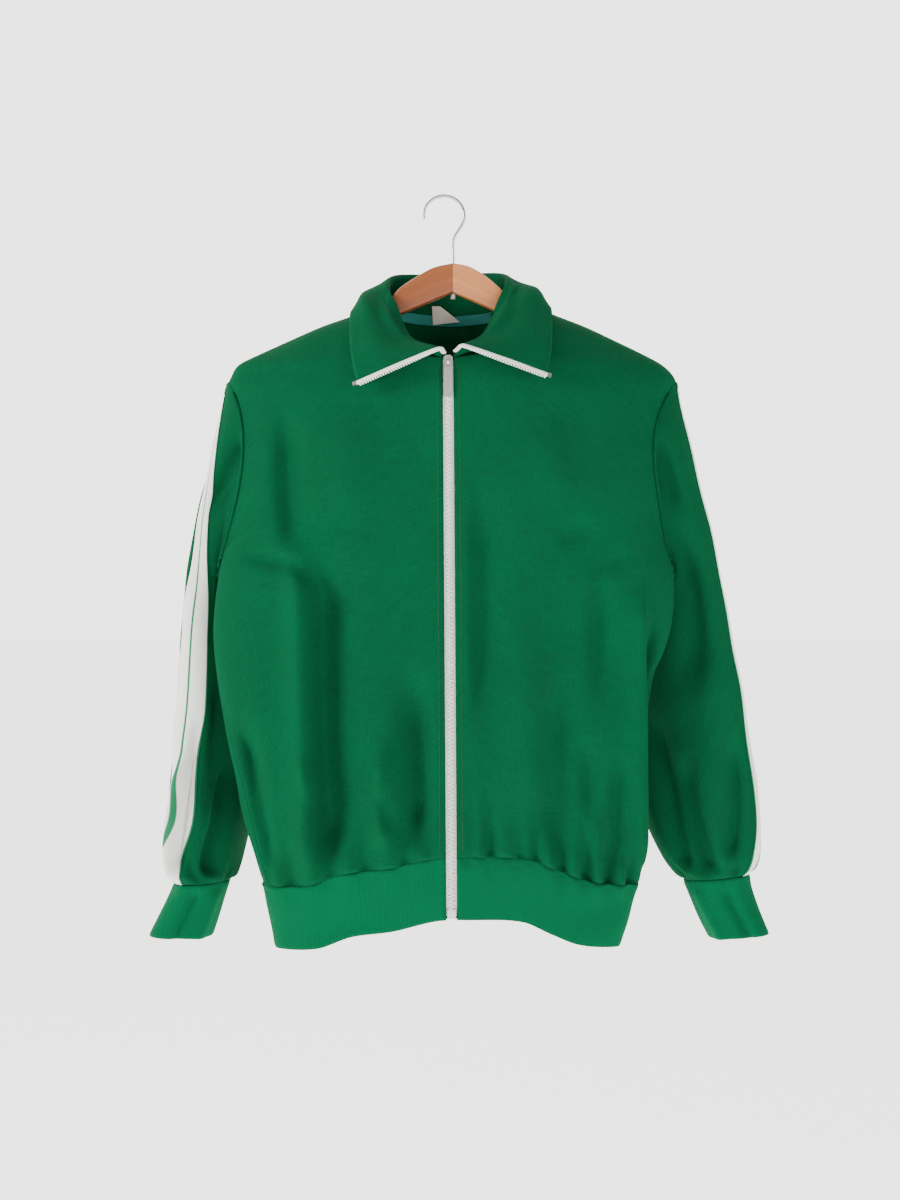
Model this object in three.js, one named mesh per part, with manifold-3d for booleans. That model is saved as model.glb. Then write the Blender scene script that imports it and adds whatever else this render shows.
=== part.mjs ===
// Track jacket with a full-length zip, hanging closed on a wooden hanger with a wire hook.
// Millimetres, +Z up, the front faces -Y, the wearer's left is on +X.
// The origin is the inside top of the hook, where a rail or a cable's eye carries it.
import * as THREE from "three";
import { mergeVertices } from "three/addons/utils/BufferGeometryUtils.js";
import Module from "manifold-3d";

const wasm = await Module();
wasm.setup();

// Driving dimensions
const BODY_WALL = 2; // jersey of the body panels and sleeves
const RIB_WALL = 2.4; // doubled rib of the band and cuffs
const COLLAR_WALL = 2.2;
const TAPE_WALL = 0.8;
const SEAM = 0.3; // clear gap of what lies on a panel
const TAPE_LIFT = 0.8; // the sleeve tape lies this far over its curved sleeve
const SEWN = 0.6; // gap between the true lines of two sewn edges, so that their facets clear by 0.3
const AXIS_X = 6; // the zip and the neck sit a little to the right of the hook's top
const NECK_FRONT_Z = -171;
const WAIST_BAND = 63; // height of the ribbed band
const ZIP_TOP = { x: 4.1, z: -169 };
const ZIP_FOOT = { x: 7.8, z: -726 };
const ZIP_GAP = 5.2; // from the zip's middle to the panel's folded edge
const STRIPE_HALF = 19; // half the width of the white tape
const HANGER_THICK = 12;
const WIRE_RADIUS = 1.65;
const HOOK_INSIDE = 19; // inside radius of the hook's round
const SHANK_X = 9.2; // the hanger's middle seam and the hook's shank

const DEG = Math.PI / 180;
const lerp = (a, b, t) => a + (b - a) * t;
// Rows of numbers as objects, under a list of names
const named = (names, rows) => {
  const keys = names.split(" ");
  return rows.map((row) => Object.fromEntries(keys.map((key, i) => [key, row[i]])));
};
const clamp01 = (t) => Math.min(1, Math.max(0, t));
const smooth = (t) => {
  const k = clamp01(t);
  return k * k * (3 - 2 * k);
};

// Smooth value of one column of a table whose first column runs steadily
function column(rows, at, key, place) {
  const rising = rows[rows.length - 1][at] > rows[0][at];
  const from = (i) => rows[Math.min(rows.length - 1, Math.max(0, i))];
  let i = 0;
  while (i < rows.length - 2 && (rising ? place > from(i + 1)[at] : place < from(i + 1)[at])) i += 1;
  const a = from(i);
  const b = from(i + 1);
  const span = b[at] - a[at];
  const t = clamp01((place - a[at]) / span);
  const slope = (j) => {
    const before = from(j - 1);
    const after = from(j + 1);
    return ((after[key] - before[key]) / (after[at] - before[at])) * span;
  };
  const t2 = t * t;
  const t3 = t2 * t;
  return (
    (2 * t3 - 3 * t2 + 1) * a[key] +
    (t3 - 2 * t2 + t) * slope(i) +
    (3 * t2 - 2 * t3) * b[key] +
    (t3 - t2) * slope(i + 1)
  );
}

// The torso's level sections: side reach left and right, depth to the front and the back,
// how far forward the widest place lies, and how square the front and the back round are
const TORSO = [
  { z: -104, left: -56, right: 76, front: 34, back: 46, mid: 0, squareF: 1.6, squareB: 1.7 },
  { z: -112, left: -73, right: 93, front: 38, back: 48, mid: 0, squareF: 1.5, squareB: 1.6 },
  { z: -120, left: -90, right: 112, front: 41, back: 49, mid: 0, squareF: 1.5, squareB: 1.5 },
  { z: -132, left: -124, right: 143, front: 45, back: 51, mid: 0, squareF: 1.5, squareB: 1.5 },
  { z: -146, left: -156, right: 173, front: 49, back: 53, mid: 0, squareF: 1.5, squareB: 1.5 },
  { z: -160, left: -187, right: 202, front: 53, back: 54, mid: 0, squareF: 1.5, squareB: 1.5 },
  { z: -171, left: -209, right: 222, front: 56, back: 55, mid: 0, squareF: 1.55, squareB: 1.5 },
  { z: -183, left: -217, right: 234, front: 57, back: 56, mid: 0, squareF: 1.6, squareB: 1.55 },
  { z: -195, left: -221, right: 237, front: 58, back: 56, mid: -1, squareF: 1.7, squareB: 1.6 },
  { z: -240, left: -220, right: 230, front: 60, back: 56, mid: -4, squareF: 2.1, squareB: 1.8 },
  { z: -310, left: -219, right: 226, front: 61, back: 56, mid: -9, squareF: 2.6, squareB: 1.8 },
  { z: -350, left: -221, right: 224, front: 61, back: 56, mid: -14, squareF: 2.8, squareB: 1.75 },
  { z: -385, left: -227, right: 231, front: 62, back: 56, mid: -18, squareF: 2.9, squareB: 1.7 },
  { z: -438, left: -232, right: 228, front: 62, back: 56, mid: -20, squareF: 3, squareB: 1.7 },
  { z: -489, left: -228, right: 214, front: 62, back: 56, mid: -20, squareF: 3, squareB: 1.7 },
  { z: -554, left: -217, right: 205, front: 62, back: 55, mid: -20, squareF: 3, squareB: 1.7 },
  { z: -617, left: -204, right: 205, front: 61, back: 54, mid: -19, squareF: 2.8, squareB: 1.8 },
  { z: -662, left: -194, right: 202, front: 59, back: 52, mid: -16, squareF: 2.7, squareB: 1.9 },
  { z: -698, left: -185, right: 197, front: 54, back: 48, mid: -12, squareF: 2.6, squareB: 2 },
  { z: -730, left: -178, right: 188, front: 50, back: 45, mid: -10, squareF: 2.5, squareB: 2 },
  { z: -764, left: -171, right: 178, front: 48, back: 43, mid: -10, squareF: 2.5, squareB: 2 },
];
const torsoAt = (z, key) => column(TORSO, "z", key, z);

// Front creases that show from a step away: a line from top to foot, half width and depth
const FOLDS = [
  { x0: -121, z0: -352, x1: -119, z1: -690, wide: 17, deep: 12 },
  { x0: -142, z0: -352, x1: -138, z1: -690, wide: 10, deep: -5 },
  { x0: -28, z0: -480, x1: -30, z1: -652, wide: 17, deep: 9 },
  { x0: 34, z0: -296, x1: 35, z1: -536, wide: 15, deep: 5 },
  { x0: -157, z0: -222, x1: -152, z1: -372, wide: 14, deep: 5 },
  { x0: 156, z0: -386, x1: 140, z1: -590, wide: 12, deep: 6 },
];
function foldDepth(x, z) {
  let sum = 0;
  for (const f of FOLDS) {
    const t = (f.z0 - z) / (f.z0 - f.z1);
    const across = (x - lerp(f.x0, f.x1, t)) / f.wide;
    const along = smooth(t / 0.2) * smooth((1 - t) / 0.15);
    sum += f.deep * along * Math.exp(-across * across);
  }
  return sum;
}

// A point of the torso's outer face: side -1 or 1, angle 0 at the front's middle to 180 at the back's
function torso(side, angle, z, folded = true) {
  const front = Math.abs(angle) <= 90;
  const sine = Math.sin(angle * DEG);
  const s = Math.abs(sine);
  const c = Math.abs(Math.cos(angle * DEG));
  const square = torsoAt(z, front ? "squareF" : "squareB");
  const k = Math.pow(Math.pow(s, square) + Math.pow(c, square), -1 / square);
  const reach = side < 0 ? AXIS_X - torsoAt(z, "left") : torsoAt(z, "right") - AXIS_X;
  const mid = torsoAt(z, "mid");
  const depth = front ? -(torsoAt(z, "front") + mid) : torsoAt(z, "back") - mid;
  const x = AXIS_X + side * reach * sine * k;
  let y = mid + depth * c * k;
  if (front && folded) y += foldDepth(x, z) * smooth((90 - angle) / 40);
  return new THREE.Vector3(x, y, z);
}

// The angle at which a level section passes a given distance from the axis
function angleAt(side, x, z, back = false) {
  let low = 0;
  let high = 90;
  for (let i = 0; i < 30; i += 1) {
    const mid = (low + high) / 2;
    const p = torso(side, back ? 180 - mid : mid, z, false);
    if (Math.abs(p.x - AXIS_X) < Math.abs(x - AXIS_X)) low = mid;
    else high = mid;
  }
  return back ? 180 - low : low;
}

// The waist seam's height round the body, which arches up in the front's middle
const WAIST_SEAM = [
  { x: -190, front: -699, back: -698 },
  { x: -140, front: -696, back: -695 },
  { x: -100, front: -683, back: -690 },
  { x: -55, front: -677, back: -686 },
  { x: -12, front: -667, back: -683 },
  { x: 18, front: -665, back: -682 },
  { x: 80, front: -667, back: -684 },
  { x: 115, front: -680, back: -689 },
  { x: 150, front: -692, back: -694 },
  { x: 200, front: -698, back: -698 },
];
function waistSeam(side, angle) {
  const x = torso(side, angle, -690, false).x;
  const front = column(WAIST_SEAM, "x", "front", x);
  const back = column(WAIST_SEAM, "x", "back", x);
  return lerp(front, back, smooth((angle - 70) / 50));
}

// The zip's middle line
const zipX = (z) => lerp(ZIP_TOP.x, ZIP_FOOT.x, (ZIP_TOP.z - z) / (ZIP_TOP.z - ZIP_FOOT.z));
const zipEdgeAngle = (side, z) => angleAt(side, zipX(z) + side * ZIP_GAP, z);

// Shoulder and armhole: turn is 0 at the shoulder's tip, 90 at the front, 180 under the arm, -90 at the back
const ARM = { tip: -189, pit: -392, front: 31, back: 27, drift: 8 };
function armhole(turn, inset = 0) {
  const s = Math.sin(turn * DEG);
  const c = Math.cos(turn * DEG);
  const wide = (s > 0 ? ARM.front : -ARM.back) * Math.pow(Math.abs(s), 1.15) * (1 - inset);
  const z = (ARM.tip + ARM.pit) / 2 + ((ARM.tip - ARM.pit) / 2 - inset * 100) * c;
  return { angle: 90 - wide + (ARM.drift * (1 - c)) / 2, z };
}

// The neckline: an ellipse at the front, nearly level at the back
const NECK_POINT = { "-1": -108.6, 1: -105 };
const NECK_BACK_Z = -116;
function neckFront(side, t) {
  const top = NECK_POINT[side];
  const z = lerp(top, NECK_FRONT_Z, Math.sin(t * 90 * DEG));
  const shoulder = torso(side, 90, top).x;
  const middle = zipX(NECK_FRONT_Z) + side * ZIP_GAP;
  return { angle: angleAt(side, lerp(middle, shoulder, Math.cos(t * 90 * DEG)), z), z };
}
function neckBack(side, t) {
  const top = NECK_POINT[side];
  const z = lerp(top, NECK_BACK_Z, Math.sin(t * 90 * DEG));
  const shoulder = torso(side, 90, top).x;
  return { angle: angleAt(side, lerp(AXIS_X, shoulder, Math.cos(t * 90 * DEG)), z, true), z };
}

// Outward direction of the torso, the same on both sides of a seam
function torsoNormal(side, angle, z) {
  const around = torso(side, angle + 2, z).sub(torso(side, angle - 2, z));
  const down = torso(side, angle, z - 3).sub(torso(side, angle, z + 3));
  return around.cross(down).multiplyScalar(-side).normalize();
}
const onTorso = (side, { angle, z }) => ({ p: torso(side, angle, z), n: torsoNormal(side, angle, z) });
const lifted = (place, out) => ({ p: place.p.clone().addScaledVector(place.n, out), n: place.n });

const LOOKS = {
  jersey: { color: 0x00794a, roughness: 0.85, metalness: 0 },
  rib: { color: 0x048a56, roughness: 0.9, metalness: 0 },
  white: { color: 0xe9eae6, roughness: 0.75, metalness: 0 },
  teal: { color: 0x1c8a86, roughness: 0.8, metalness: 0 },
  label: { color: 0xd9d6cb, roughness: 0.7, metalness: 0 },
  steel: { color: 0xb9bbbd, roughness: 0.25, metalness: 1 },
  darkWood: { color: 0x9a5c33, roughness: 0.5, metalness: 0 },
  lightWood: { color: 0xc27a45, roughness: 0.5, metalness: 0 },
};

const group = new THREE.Group();
function addPiece(name, geometry, look) {
  const mesh = new THREE.Mesh(geometry, new THREE.MeshStandardMaterial(LOOKS[look]));
  mesh.name = name;
  group.add(mesh);
  return mesh;
}

// A geometry from points and faces, turned to face out
function facesToGeometry(points, faces) {
  let volume = 0;
  for (const [a, b, c] of faces) volume += points[a].dot(points[b].clone().cross(points[c]));
  const order = volume < 0 ? faces.map(([a, b, c]) => [a, c, b]) : faces;
  const geometry = new THREE.BufferGeometry();
  const numbers = points.flatMap((p) => [p.x, p.y, p.z]);
  geometry.setAttribute("position", new THREE.Float32BufferAttribute(numbers, 3));
  geometry.setIndex(order.flat());
  geometry.computeVertexNormals();
  return geometry;
}

// The directions across a grid of points, for the pieces that have no formula for them
function withNormals(grid, closedRound, facing) {
  const rows = grid.length;
  const cols = grid[0].length;
  const near = (i, n) => Math.min(n - 1, Math.max(0, i));
  const wrap = (j) => (closedRound ? (j + cols) % cols : near(j, cols));
  return grid.map((row, i) =>
    row.map((p, j) => {
      const along = grid[near(i + 1, rows)][j].clone().sub(grid[near(i - 1, rows)][j]);
      const around = row[wrap(j + 1)].clone().sub(row[wrap(j - 1)]);
      return { p, n: along.cross(around).multiplyScalar(facing).normalize() };
    }),
  );
}

// Closed wall: a grid of places as its outer face and the same grid moved in as its inner one
function wall(grid, thick, closedRound = false) {
  const rows = grid.length;
  const cols = grid[0].length;
  const points = grid.flat().map((place) => place.p.clone());
  for (const place of grid.flat()) points.push(lifted(place, -thick).p);
  const inner = rows * cols;
  const at = (i, j) => i * cols + (j % cols);
  const faces = [];
  const quad = (a, b, c, d) => faces.push([a, b, c], [a, c, d]);
  const lastCol = closedRound ? cols : cols - 1;
  for (let i = 0; i < rows - 1; i += 1) {
    for (let j = 0; j < lastCol; j += 1) {
      quad(at(i, j), at(i + 1, j), at(i + 1, j + 1), at(i, j + 1));
      quad(inner + at(i, j), inner + at(i, j + 1), inner + at(i + 1, j + 1), inner + at(i + 1, j));
    }
  }
  const end = rows - 1;
  for (let j = 0; j < lastCol; j += 1) {
    quad(at(0, j), at(0, j + 1), inner + at(0, j + 1), inner + at(0, j));
    quad(at(end, j), inner + at(end, j), inner + at(end, j + 1), at(end, j + 1));
  }
  if (!closedRound) {
    const side = cols - 1;
    for (let i = 0; i < rows - 1; i += 1) {
      quad(at(i, 0), inner + at(i, 0), inner + at(i + 1, 0), at(i + 1, 0));
      quad(at(i, side), at(i + 1, side), inner + at(i + 1, side), inner + at(i, side));
    }
  }
  return facesToGeometry(points, faces);
}

// A closed geometry as a solid that can be cut, and back
function solidOf(geometry) {
  const bare = geometry.clone();
  bare.deleteAttribute("normal");
  bare.deleteAttribute("uv");
  const merged = mergeVertices(bare, 1e-3);
  return new wasm.Manifold(
    new wasm.Mesh({
      numProp: 3,
      vertProperties: merged.attributes.position.array,
      triVerts: new Uint32Array(merged.index.array),
    }),
  );
}
function geometryOf(solid) {
  const mesh = solid.getMesh();
  const geometry = new THREE.BufferGeometry();
  geometry.setAttribute("position", new THREE.BufferAttribute(new Float32Array(mesh.vertProperties), 3));
  geometry.setIndex(new THREE.BufferAttribute(new Uint32Array(mesh.triVerts), 1));
  geometry.computeVertexNormals();
  return geometry;
}
const TRIM_GAP = 0.45;
// A wall grown by a gap on both faces and at its edges, to trim its neighbours with
function trimmer(grid, thick) {
  const lastRow = grid.length - 1;
  const lastCol = grid[0].length - 1;
  const away = (place, next) => place.p.clone().sub(next.p).normalize().multiplyScalar(TRIM_GAP);
  const grown = grid.map((row, i) =>
    row.map((place, j) => {
      const moved = lifted(place, TRIM_GAP);
      if (i === 0) moved.p.add(away(place, grid[1][j]));
      if (i === lastRow) moved.p.add(away(place, grid[i - 1][j]));
      if (j === 0) moved.p.add(away(place, row[1]));
      if (j === lastCol) moved.p.add(away(place, row[j - 1]));
      return moved;
    }),
  );
  return solidOf(wall(grown, thick + 2 * TRIM_GAP));
}
// The largest piece of a geometry that is left clear of the trimmers
function trimmed(geometry, trimmers) {
  const cut = trimmers.reduce((solid, tool) => solid.subtract(tool), solidOf(geometry));
  return geometryOf(cut.decompose().sort((a, b) => b.volume() - a.volume())[0]);
}

const steps = (n) => Array.from({ length: n + 1 }, (unused, i) => i / n);
const SIDES = [
  { side: -1, word: "right" },
  { side: 1, word: "left" },
];

// Side seam angle, which comes forward low on the wearer's right
const SIDE_SEAM = [
  { z: -392, right: 98, left: 98 },
  { z: -440, right: 92, left: 97 },
  { z: -500, right: 76, left: 96 },
  { z: -560, right: 66, left: 94 },
  { z: -640, right: 64, left: 92 },
  { z: -764, right: 66, left: 90 },
];
const sideSeam = (side, z) => column(SIDE_SEAM, "z", side < 0 ? "right" : "left", z);

// How many degrees round the torso make a gap of the given width
function seamStep(side, angle, z, gap) {
  const across = torso(side, angle - 1, z, false).distanceTo(torso(side, angle + 1, z, false));
  return (gap * 2) / across;
}

const PANEL_ROWS = 22;
const FRONT_COLS = 14;
const BACK_COLS = 11; // on each side of the middle
const NECK_SHARE = 5 / 22; // share of the front's rows that run to the neckline
const ARM_SHARE = 0.4; // share of the rows that run to the armhole
const FOOT_SHARE = 0.25; // share of the rows over which the waist seam's arch fades

// Where a row ends at the armhole or the side seam
function outerEnd(side, v, facing, firstTurn) {
  if (v < ARM_SHARE) return armhole(facing * lerp(firstTurn, 180, v / ARM_SHARE));
  const t = (v - ARM_SHARE) / (1 - ARM_SHARE);
  const z = lerp(ARM.pit, waistSeam(side, sideSeam(side, -698)), t);
  return { angle: sideSeam(side, z), z };
}
// Where a front row ends at the neckline or the zip
function zipEnd(side, v) {
  if (v < NECK_SHARE) return neckFront(side, v / NECK_SHARE);
  const t = (v - NECK_SHARE) / (1 - NECK_SHARE);
  const z = lerp(NECK_FRONT_Z, waistSeam(side, zipEdgeAngle(side, -666)), t);
  return { angle: zipEdgeAngle(side, z), z };
}
// How much the waist seam's arch moves a place between its row's two ends
function archAt(side, a, b, angle, u, v) {
  const arch = waistSeam(side, angle) - lerp(waistSeam(side, a.angle), waistSeam(side, b.angle), u);
  return arch * smooth((v - 1 + FOOT_SHARE) / FOOT_SHARE);
}

function frontGrid(side) {
  return steps(PANEL_ROWS).map((v) => {
    const a = zipEnd(side, v);
    const b = outerEnd(side, v, 1, 0);
    return steps(FRONT_COLS).map((u) => {
      const angle = lerp(a.angle, b.angle, u);
      const z = lerp(a.z, b.z, u) + archAt(side, a, b, angle, u, v);
      return onTorso(side, { angle, z });
    });
  });
}

// A walk down the back from the ridge or neckline, drifting across by a given shift
function walkDown(side, start, distance, shift) {
  const from = torso(side, start.angle, start.z, false);
  let z = start.z;
  let place = start;
  let gone = 0;
  let last = from;
  while (gone < distance) {
    z -= 0.25;
    place = { angle: angleAt(side, from.x + (shift * gone) / distance, z, true), z };
    const here = torso(side, place.angle, z, false);
    gone += here.distanceTo(last);
    last = here;
  }
  return place;
}

// The back's top edge: neckline from the middle out, then the shoulder seam
const NECK_COLS = 4;
function backTop(side, col) {
  if (col <= NECK_COLS) return neckBack(side, 1 - col / NECK_COLS);
  const t = (col - NECK_COLS) / (BACK_COLS - NECK_COLS);
  return { angle: 90, z: lerp(NECK_POINT[side], ARM.tip, t) };
}
const FIRST_TURN = 33; // turn round the armhole where the shoulder tape's lower edge ends
const TOP_ROWS = 2; // rows under the shoulder tape
const BLEND_SHARE = 0.3;

function backHalf(side) {
  const grid = [];
  const gap = (place) => ({ angle: place.angle + seamStep(side, place.angle, place.z, SEWN), z: place.z });
  const tip = torso(side, 90, ARM.tip, false).x;
  // The top rows, each a given share of the tape's width below the ridge and neckline
  const topRow = (share) => {
    const end = armhole(-FIRST_TURN * share);
    const shift = torso(side, end.angle, end.z, false).x - tip;
    return steps(BACK_COLS).map((u, col) => {
      const out = clamp01((col - NECK_COLS) / (BACK_COLS - NECK_COLS));
      const walked = walkDown(side, backTop(side, col), 2 * STRIPE_HALF * share, shift * out * out);
      return col === BACK_COLS ? end : walked;
    });
  };
  grid.push(steps(BACK_COLS).map((u, col) => gap(backTop(side, col))));
  for (let row = 1; row < TOP_ROWS; row += 1) grid.push(topRow(row / TOP_ROWS));
  const lower = PANEL_ROWS - TOP_ROWS;
  const hung = topRow(1);
  for (const v of steps(lower)) {
    const b = gap(outerEnd(side, v, -1, FIRST_TURN));
    const a = { angle: 180, z: lerp(hung[0].z, waistSeam(side, 180), v) };
    const own = Math.sin(90 * DEG * clamp01(v / BLEND_SHARE));
    grid.push(
      steps(BACK_COLS).map((u, col) => {
        const angle = lerp(180, b.angle, u);
        const z = lerp(a.z, b.z, u) + archAt(side, a, b, angle, u, v);
        const start = col === BACK_COLS ? b : hung[col];
        return { angle: lerp(start.angle, angle, own), z: lerp(start.z, z, own) };
      }),
    );
  }
  return grid.map((row) => row.map((place) => onTorso(side, place)));
}
// The back runs from the wearer's right to the left, so the right half is turned round
const BACK = { "-1": backHalf(-1).map((row) => row.reverse()), 1: backHalf(1) };
const backGrid = BACK[-1].map((row, i) => [...row, ...BACK[1][i].slice(1)]);

const FRONT = { "-1": frontGrid(-1), 1: frontGrid(1) };
for (const { side, word } of SIDES) addPiece("front_" + word, wall(FRONT[side], BODY_WALL), "jersey");
addPiece("back", wall(backGrid, BODY_WALL), "jersey");
const panelTrimmers = [FRONT[-1], FRONT[1], backGrid].map((grid) => trimmer(grid, BODY_WALL));

// White tape on the back of each shoulder seam, from the panel's own places
for (const { side, word } of SIDES) {
  const first = side < 0 ? 0 : NECK_COLS;
  const cols = BACK_COLS - NECK_COLS + 1;
  const rows = BACK[side].slice(0, TOP_ROWS + 1).map((row) => row.slice(first, first + cols));
  const grid = rows.map((row) => row.map((place) => lifted(place, SEAM + TAPE_WALL)));
  addPiece("shoulder_tape_" + word, wall(grid, TAPE_WALL), "white");
}

// A sleeve's rings: its outer, front, inner and back places, and how far it has left the armhole's ring
const SLEEVE_NAMES = "at own zO zI oX oY fX fY iX iY bX bY";
const SLEEVES = {
  "-1": named(SLEEVE_NAMES, [
    [0, 0, -189, -392, -221, 0, -205, -34, -220, 0, -205, 40],
    [1, 0.45, -215, -404, -227, 5, -222, -28, -216, 8, -206, 48],
    [2, 0.8, -262, -420, -236, 10, -230, -22, -206, 28, -210, 64],
    [3, 1, -330, -445, -250, 15, -240, -20, -196, 40, -215, 76],
    [4, 1, -410, -482, -262, 18, -246, -20, -192, 44, -222, 82],
    [5, 1, -500, -540, -271, 18, -243, -20, -190, 46, -230, 82],
    [6, 1, -570, -592, -277, 15, -246, -26, -194, 42, -238, 76],
    [7, 1, -630, -640, -281, 10, -252, -34, -201, 32, -246, 66],
    [8, 1, -672, -676, -280, 4, -258, -35, -210, 22, -248, 52],
    [9, 1, -697, -697, -274, 0, -252, -29, -218, 8, -246, 34],
  ]),
  1: named(SLEEVE_NAMES, [
    [0, 0, -189, -392, 237, 0, 215, -34, 222, 0, 215, 40],
    [1, 0.45, -215, -404, 242, 5, 232, -28, 222, 8, 216, 48],
    [2, 0.8, -262, -420, 252, 9, 240, -24, 212, 28, 222, 62],
    [3, 1, -330, -445, 268, 12, 250, -21, 202, 40, 230, 72],
    [4, 1, -410, -482, 284, 12, 258, -20, 195, 45, 238, 74],
    [5, 1, -500, -540, 302, 8, 262, -18, 194, 45, 246, 68],
    [6, 1, -570, -592, 314, 4, 264, -20, 198, 38, 252, 58],
    [7, 1, -630, -637, 321, 0, 268, -24, 207, 28, 258, 48],
    [8, 1, -668, -675, 319, -2, 272, -24, 226, 16, 268, 38],
    [9, 1, -689, -697, 311, -2, 278, -20, 245, 6, 276, 26],
  ]),
};
// An oval through a ring's four places
function oval(rows, at, turn) {
  const v = (key) => column(rows, "at", key, at);
  const s = Math.sin(turn * DEG);
  const c = Math.cos(turn * DEG);
  const c2 = Math.cos(2 * turn * DEG);
  const through = (o, f, i, b) => {
    return (o + f + i + b) / 4 + ((o - i) / 2) * c + ((f - b) / 2) * s + ((o + i - f - b) / 4) * c2;
  };
  const middle = (v("zO") + v("zI")) / 2;
  return new THREE.Vector3(
    through(v("oX"), v("fX"), v("iX"), v("bX")),
    through(v("oY"), v("fY"), v("iY"), v("bY")),
    middle + ((v("zO") - v("zI")) / 2) * c,
  );
}
// A place moved out of the torso's section, grown all round by a gap
function clearOfTorso(side, p, gap) {
  const reach = side < 0 ? AXIS_X - torsoAt(p.z, "left") : torsoAt(p.z, "right") - AXIS_X;
  const mid = torsoAt(p.z, "mid");
  const front = p.y < mid;
  const depth = front ? torsoAt(p.z, "front") + mid : torsoAt(p.z, "back") - mid;
  const square = torsoAt(p.z, front ? "squareF" : "squareB");
  const dx = (p.x - AXIS_X) / (reach + gap);
  const dy = (p.y - mid) / (depth + gap);
  const out = Math.pow(Math.pow(Math.abs(dx), square) + Math.pow(Math.abs(dy), square), 1 / square);
  const grow = Math.max(1, 1 / out);
  return new THREE.Vector3(AXIS_X + (p.x - AXIS_X) * grow, mid + (p.y - mid) * grow, p.z);
}
// The sleeve's share inside the panels' armhole edge, more where the back's coarser facets cut the curve
const armInset = (turn) => 0.008 + 0.06 * smooth((((turn % 360) + 360) % 360 - 120) / 50);
const SLEEVE_CLEAR = 4.5; // gap from the torso to the sleeve's outer face where it lies over a panel
const SLEEVE_LEAVES = 2; // how soon after the armhole it does so
function sleevePoint(side, at, turn) {
  const rows = SLEEVES[side];
  const own = column(rows, "at", "own", at);
  const hole = armhole(turn, armInset(turn));
  const hung = torso(side, hole.angle, hole.z, false).lerp(oval(rows, at, turn), own);
  return clearOfTorso(side, hung, SLEEVE_CLEAR * Math.min(1, at * SLEEVE_LEAVES));
}

// The white tape's middle and half width round the sleeve, in degrees of turn
const STRIPES = {
  "-1": [
    { at: 0, middle: -17, half: 17 },
    { at: 1, middle: -9, half: 17 },
    { at: 2, middle: 33, half: 17 },
    { at: 3, middle: 74, half: 20 },
    { at: 4, middle: 76, half: 25 },
    { at: 5, middle: 65, half: 29 },
    { at: 6, middle: 60, half: 30 },
    { at: 7, middle: 62, half: 31 },
    { at: 8, middle: 50, half: 33 },
    { at: 9, middle: 30, half: 36 },
  ],
  1: [
    { at: 0, middle: -17, half: 17 },
    { at: 1, middle: -4, half: 19 },
    { at: 2, middle: 10, half: 19 },
    { at: 3, middle: 17, half: 22 },
    { at: 4, middle: 15, half: 25 },
    { at: 5, middle: 9, half: 27 },
    { at: 6, middle: 5, half: 28 },
    { at: 7, middle: 2, half: 29 },
    { at: 8, middle: 5, half: 33 },
    { at: 9, middle: 6, half: 38 },
  ],
};
const SLEEVE_ROWS = 26;
const STRIPE_COLS = 3;
const SLEEVE_COLS = 18;
// Turns round a ring whose first columns carry the tape
function sleeveTurns(side, at) {
  const middle = column(STRIPES[side], "at", "middle", at);
  const half = column(STRIPES[side], "at", "half", at);
  const tape = steps(STRIPE_COLS).map((u) => lerp(middle - half, middle + half, u));
  const rest = steps(SLEEVE_COLS - STRIPE_COLS).slice(1, -1);
  return [...tape, ...rest.map((u) => lerp(middle + half, middle - half + 360, u))];
}
const SLEEVE_GRIDS = {};
for (const { side, word } of SIDES) {
  const last = SLEEVES[side].length - 1;
  const grid = steps(SLEEVE_ROWS).map((v) =>
    sleeveTurns(side, v * last).map((turn) => sleevePoint(side, v * last, turn)),
  );
  const places = withNormals(grid, true, -side);
  places[0] = places[0].map((place, j) => {
    const hole = armhole(sleeveTurns(side, 0)[j]);
    return { p: place.p, n: torsoNormal(side, hole.angle, hole.z) };
  });
  SLEEVE_GRIDS[side] = places;
  addPiece("sleeve_" + word, trimmed(wall(places, BODY_WALL, true), panelTrimmers), "jersey");
  const strip = places.map((row) => row.slice(0, STRIPE_COLS + 1));
  const tape = strip.map((row) => row.map((place) => lifted(place, TAPE_LIFT + TAPE_WALL)));
  addPiece("sleeve_tape_" + word, wall(tape.slice(1), TAPE_WALL), "white");
}

// Ribbed cuffs: the sleeve's last ring drawn in, then the cuff's own rings
const CUFF_NAMES = "at oX oY oZ fX fY iX iY bX bY iZ";
const CUFFS = {
  "-1": named(CUFF_NAMES, [
    [0, -274, -1, -697.9, -250, -27, -218.5, 8, -246, 31, -697.9],
    [1, -281, -2, -713, -254, -25, -224, 6, -252, 27, -714],
    [2, -291, -3, -733, -262, -25, -230, 4, -260, 25, -734],
    [3, -300, -4, -751, -270, -27, -236, 2, -268, 25, -753],
  ]),
  1: named(CUFF_NAMES, [
    [0, 310.5, -2, -689.6, 278, -18, 245.5, 6, 276, 24, -697.6],
    [1, 314, -2, -705, 282, -18, 251, 4, 280, 21, -713],
    [2, 322, -3, -728, 291, -19, 260, 2, 289, 19, -735],
    [3, 331, -4, -750, 301, -21, 270, 0, 299, 19, -755],
  ]),
};
const CUFF_COLS = 18;
const CUFF_ROWS = 4;
for (const { side, word } of SIDES) {
  const rows = CUFFS[side].map((row) => ({ ...row, zO: row.oZ, zI: row.iZ }));
  const turns = steps(CUFF_COLS).slice(0, -1);
  const grid = steps(CUFF_ROWS).map((v) => turns.map((u) => oval(rows, v * (rows.length - 1), u * 360)));
  addPiece("cuff_" + word, wall(withNormals(grid, true, -side), RIB_WALL, true), "rib");
}

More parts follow.
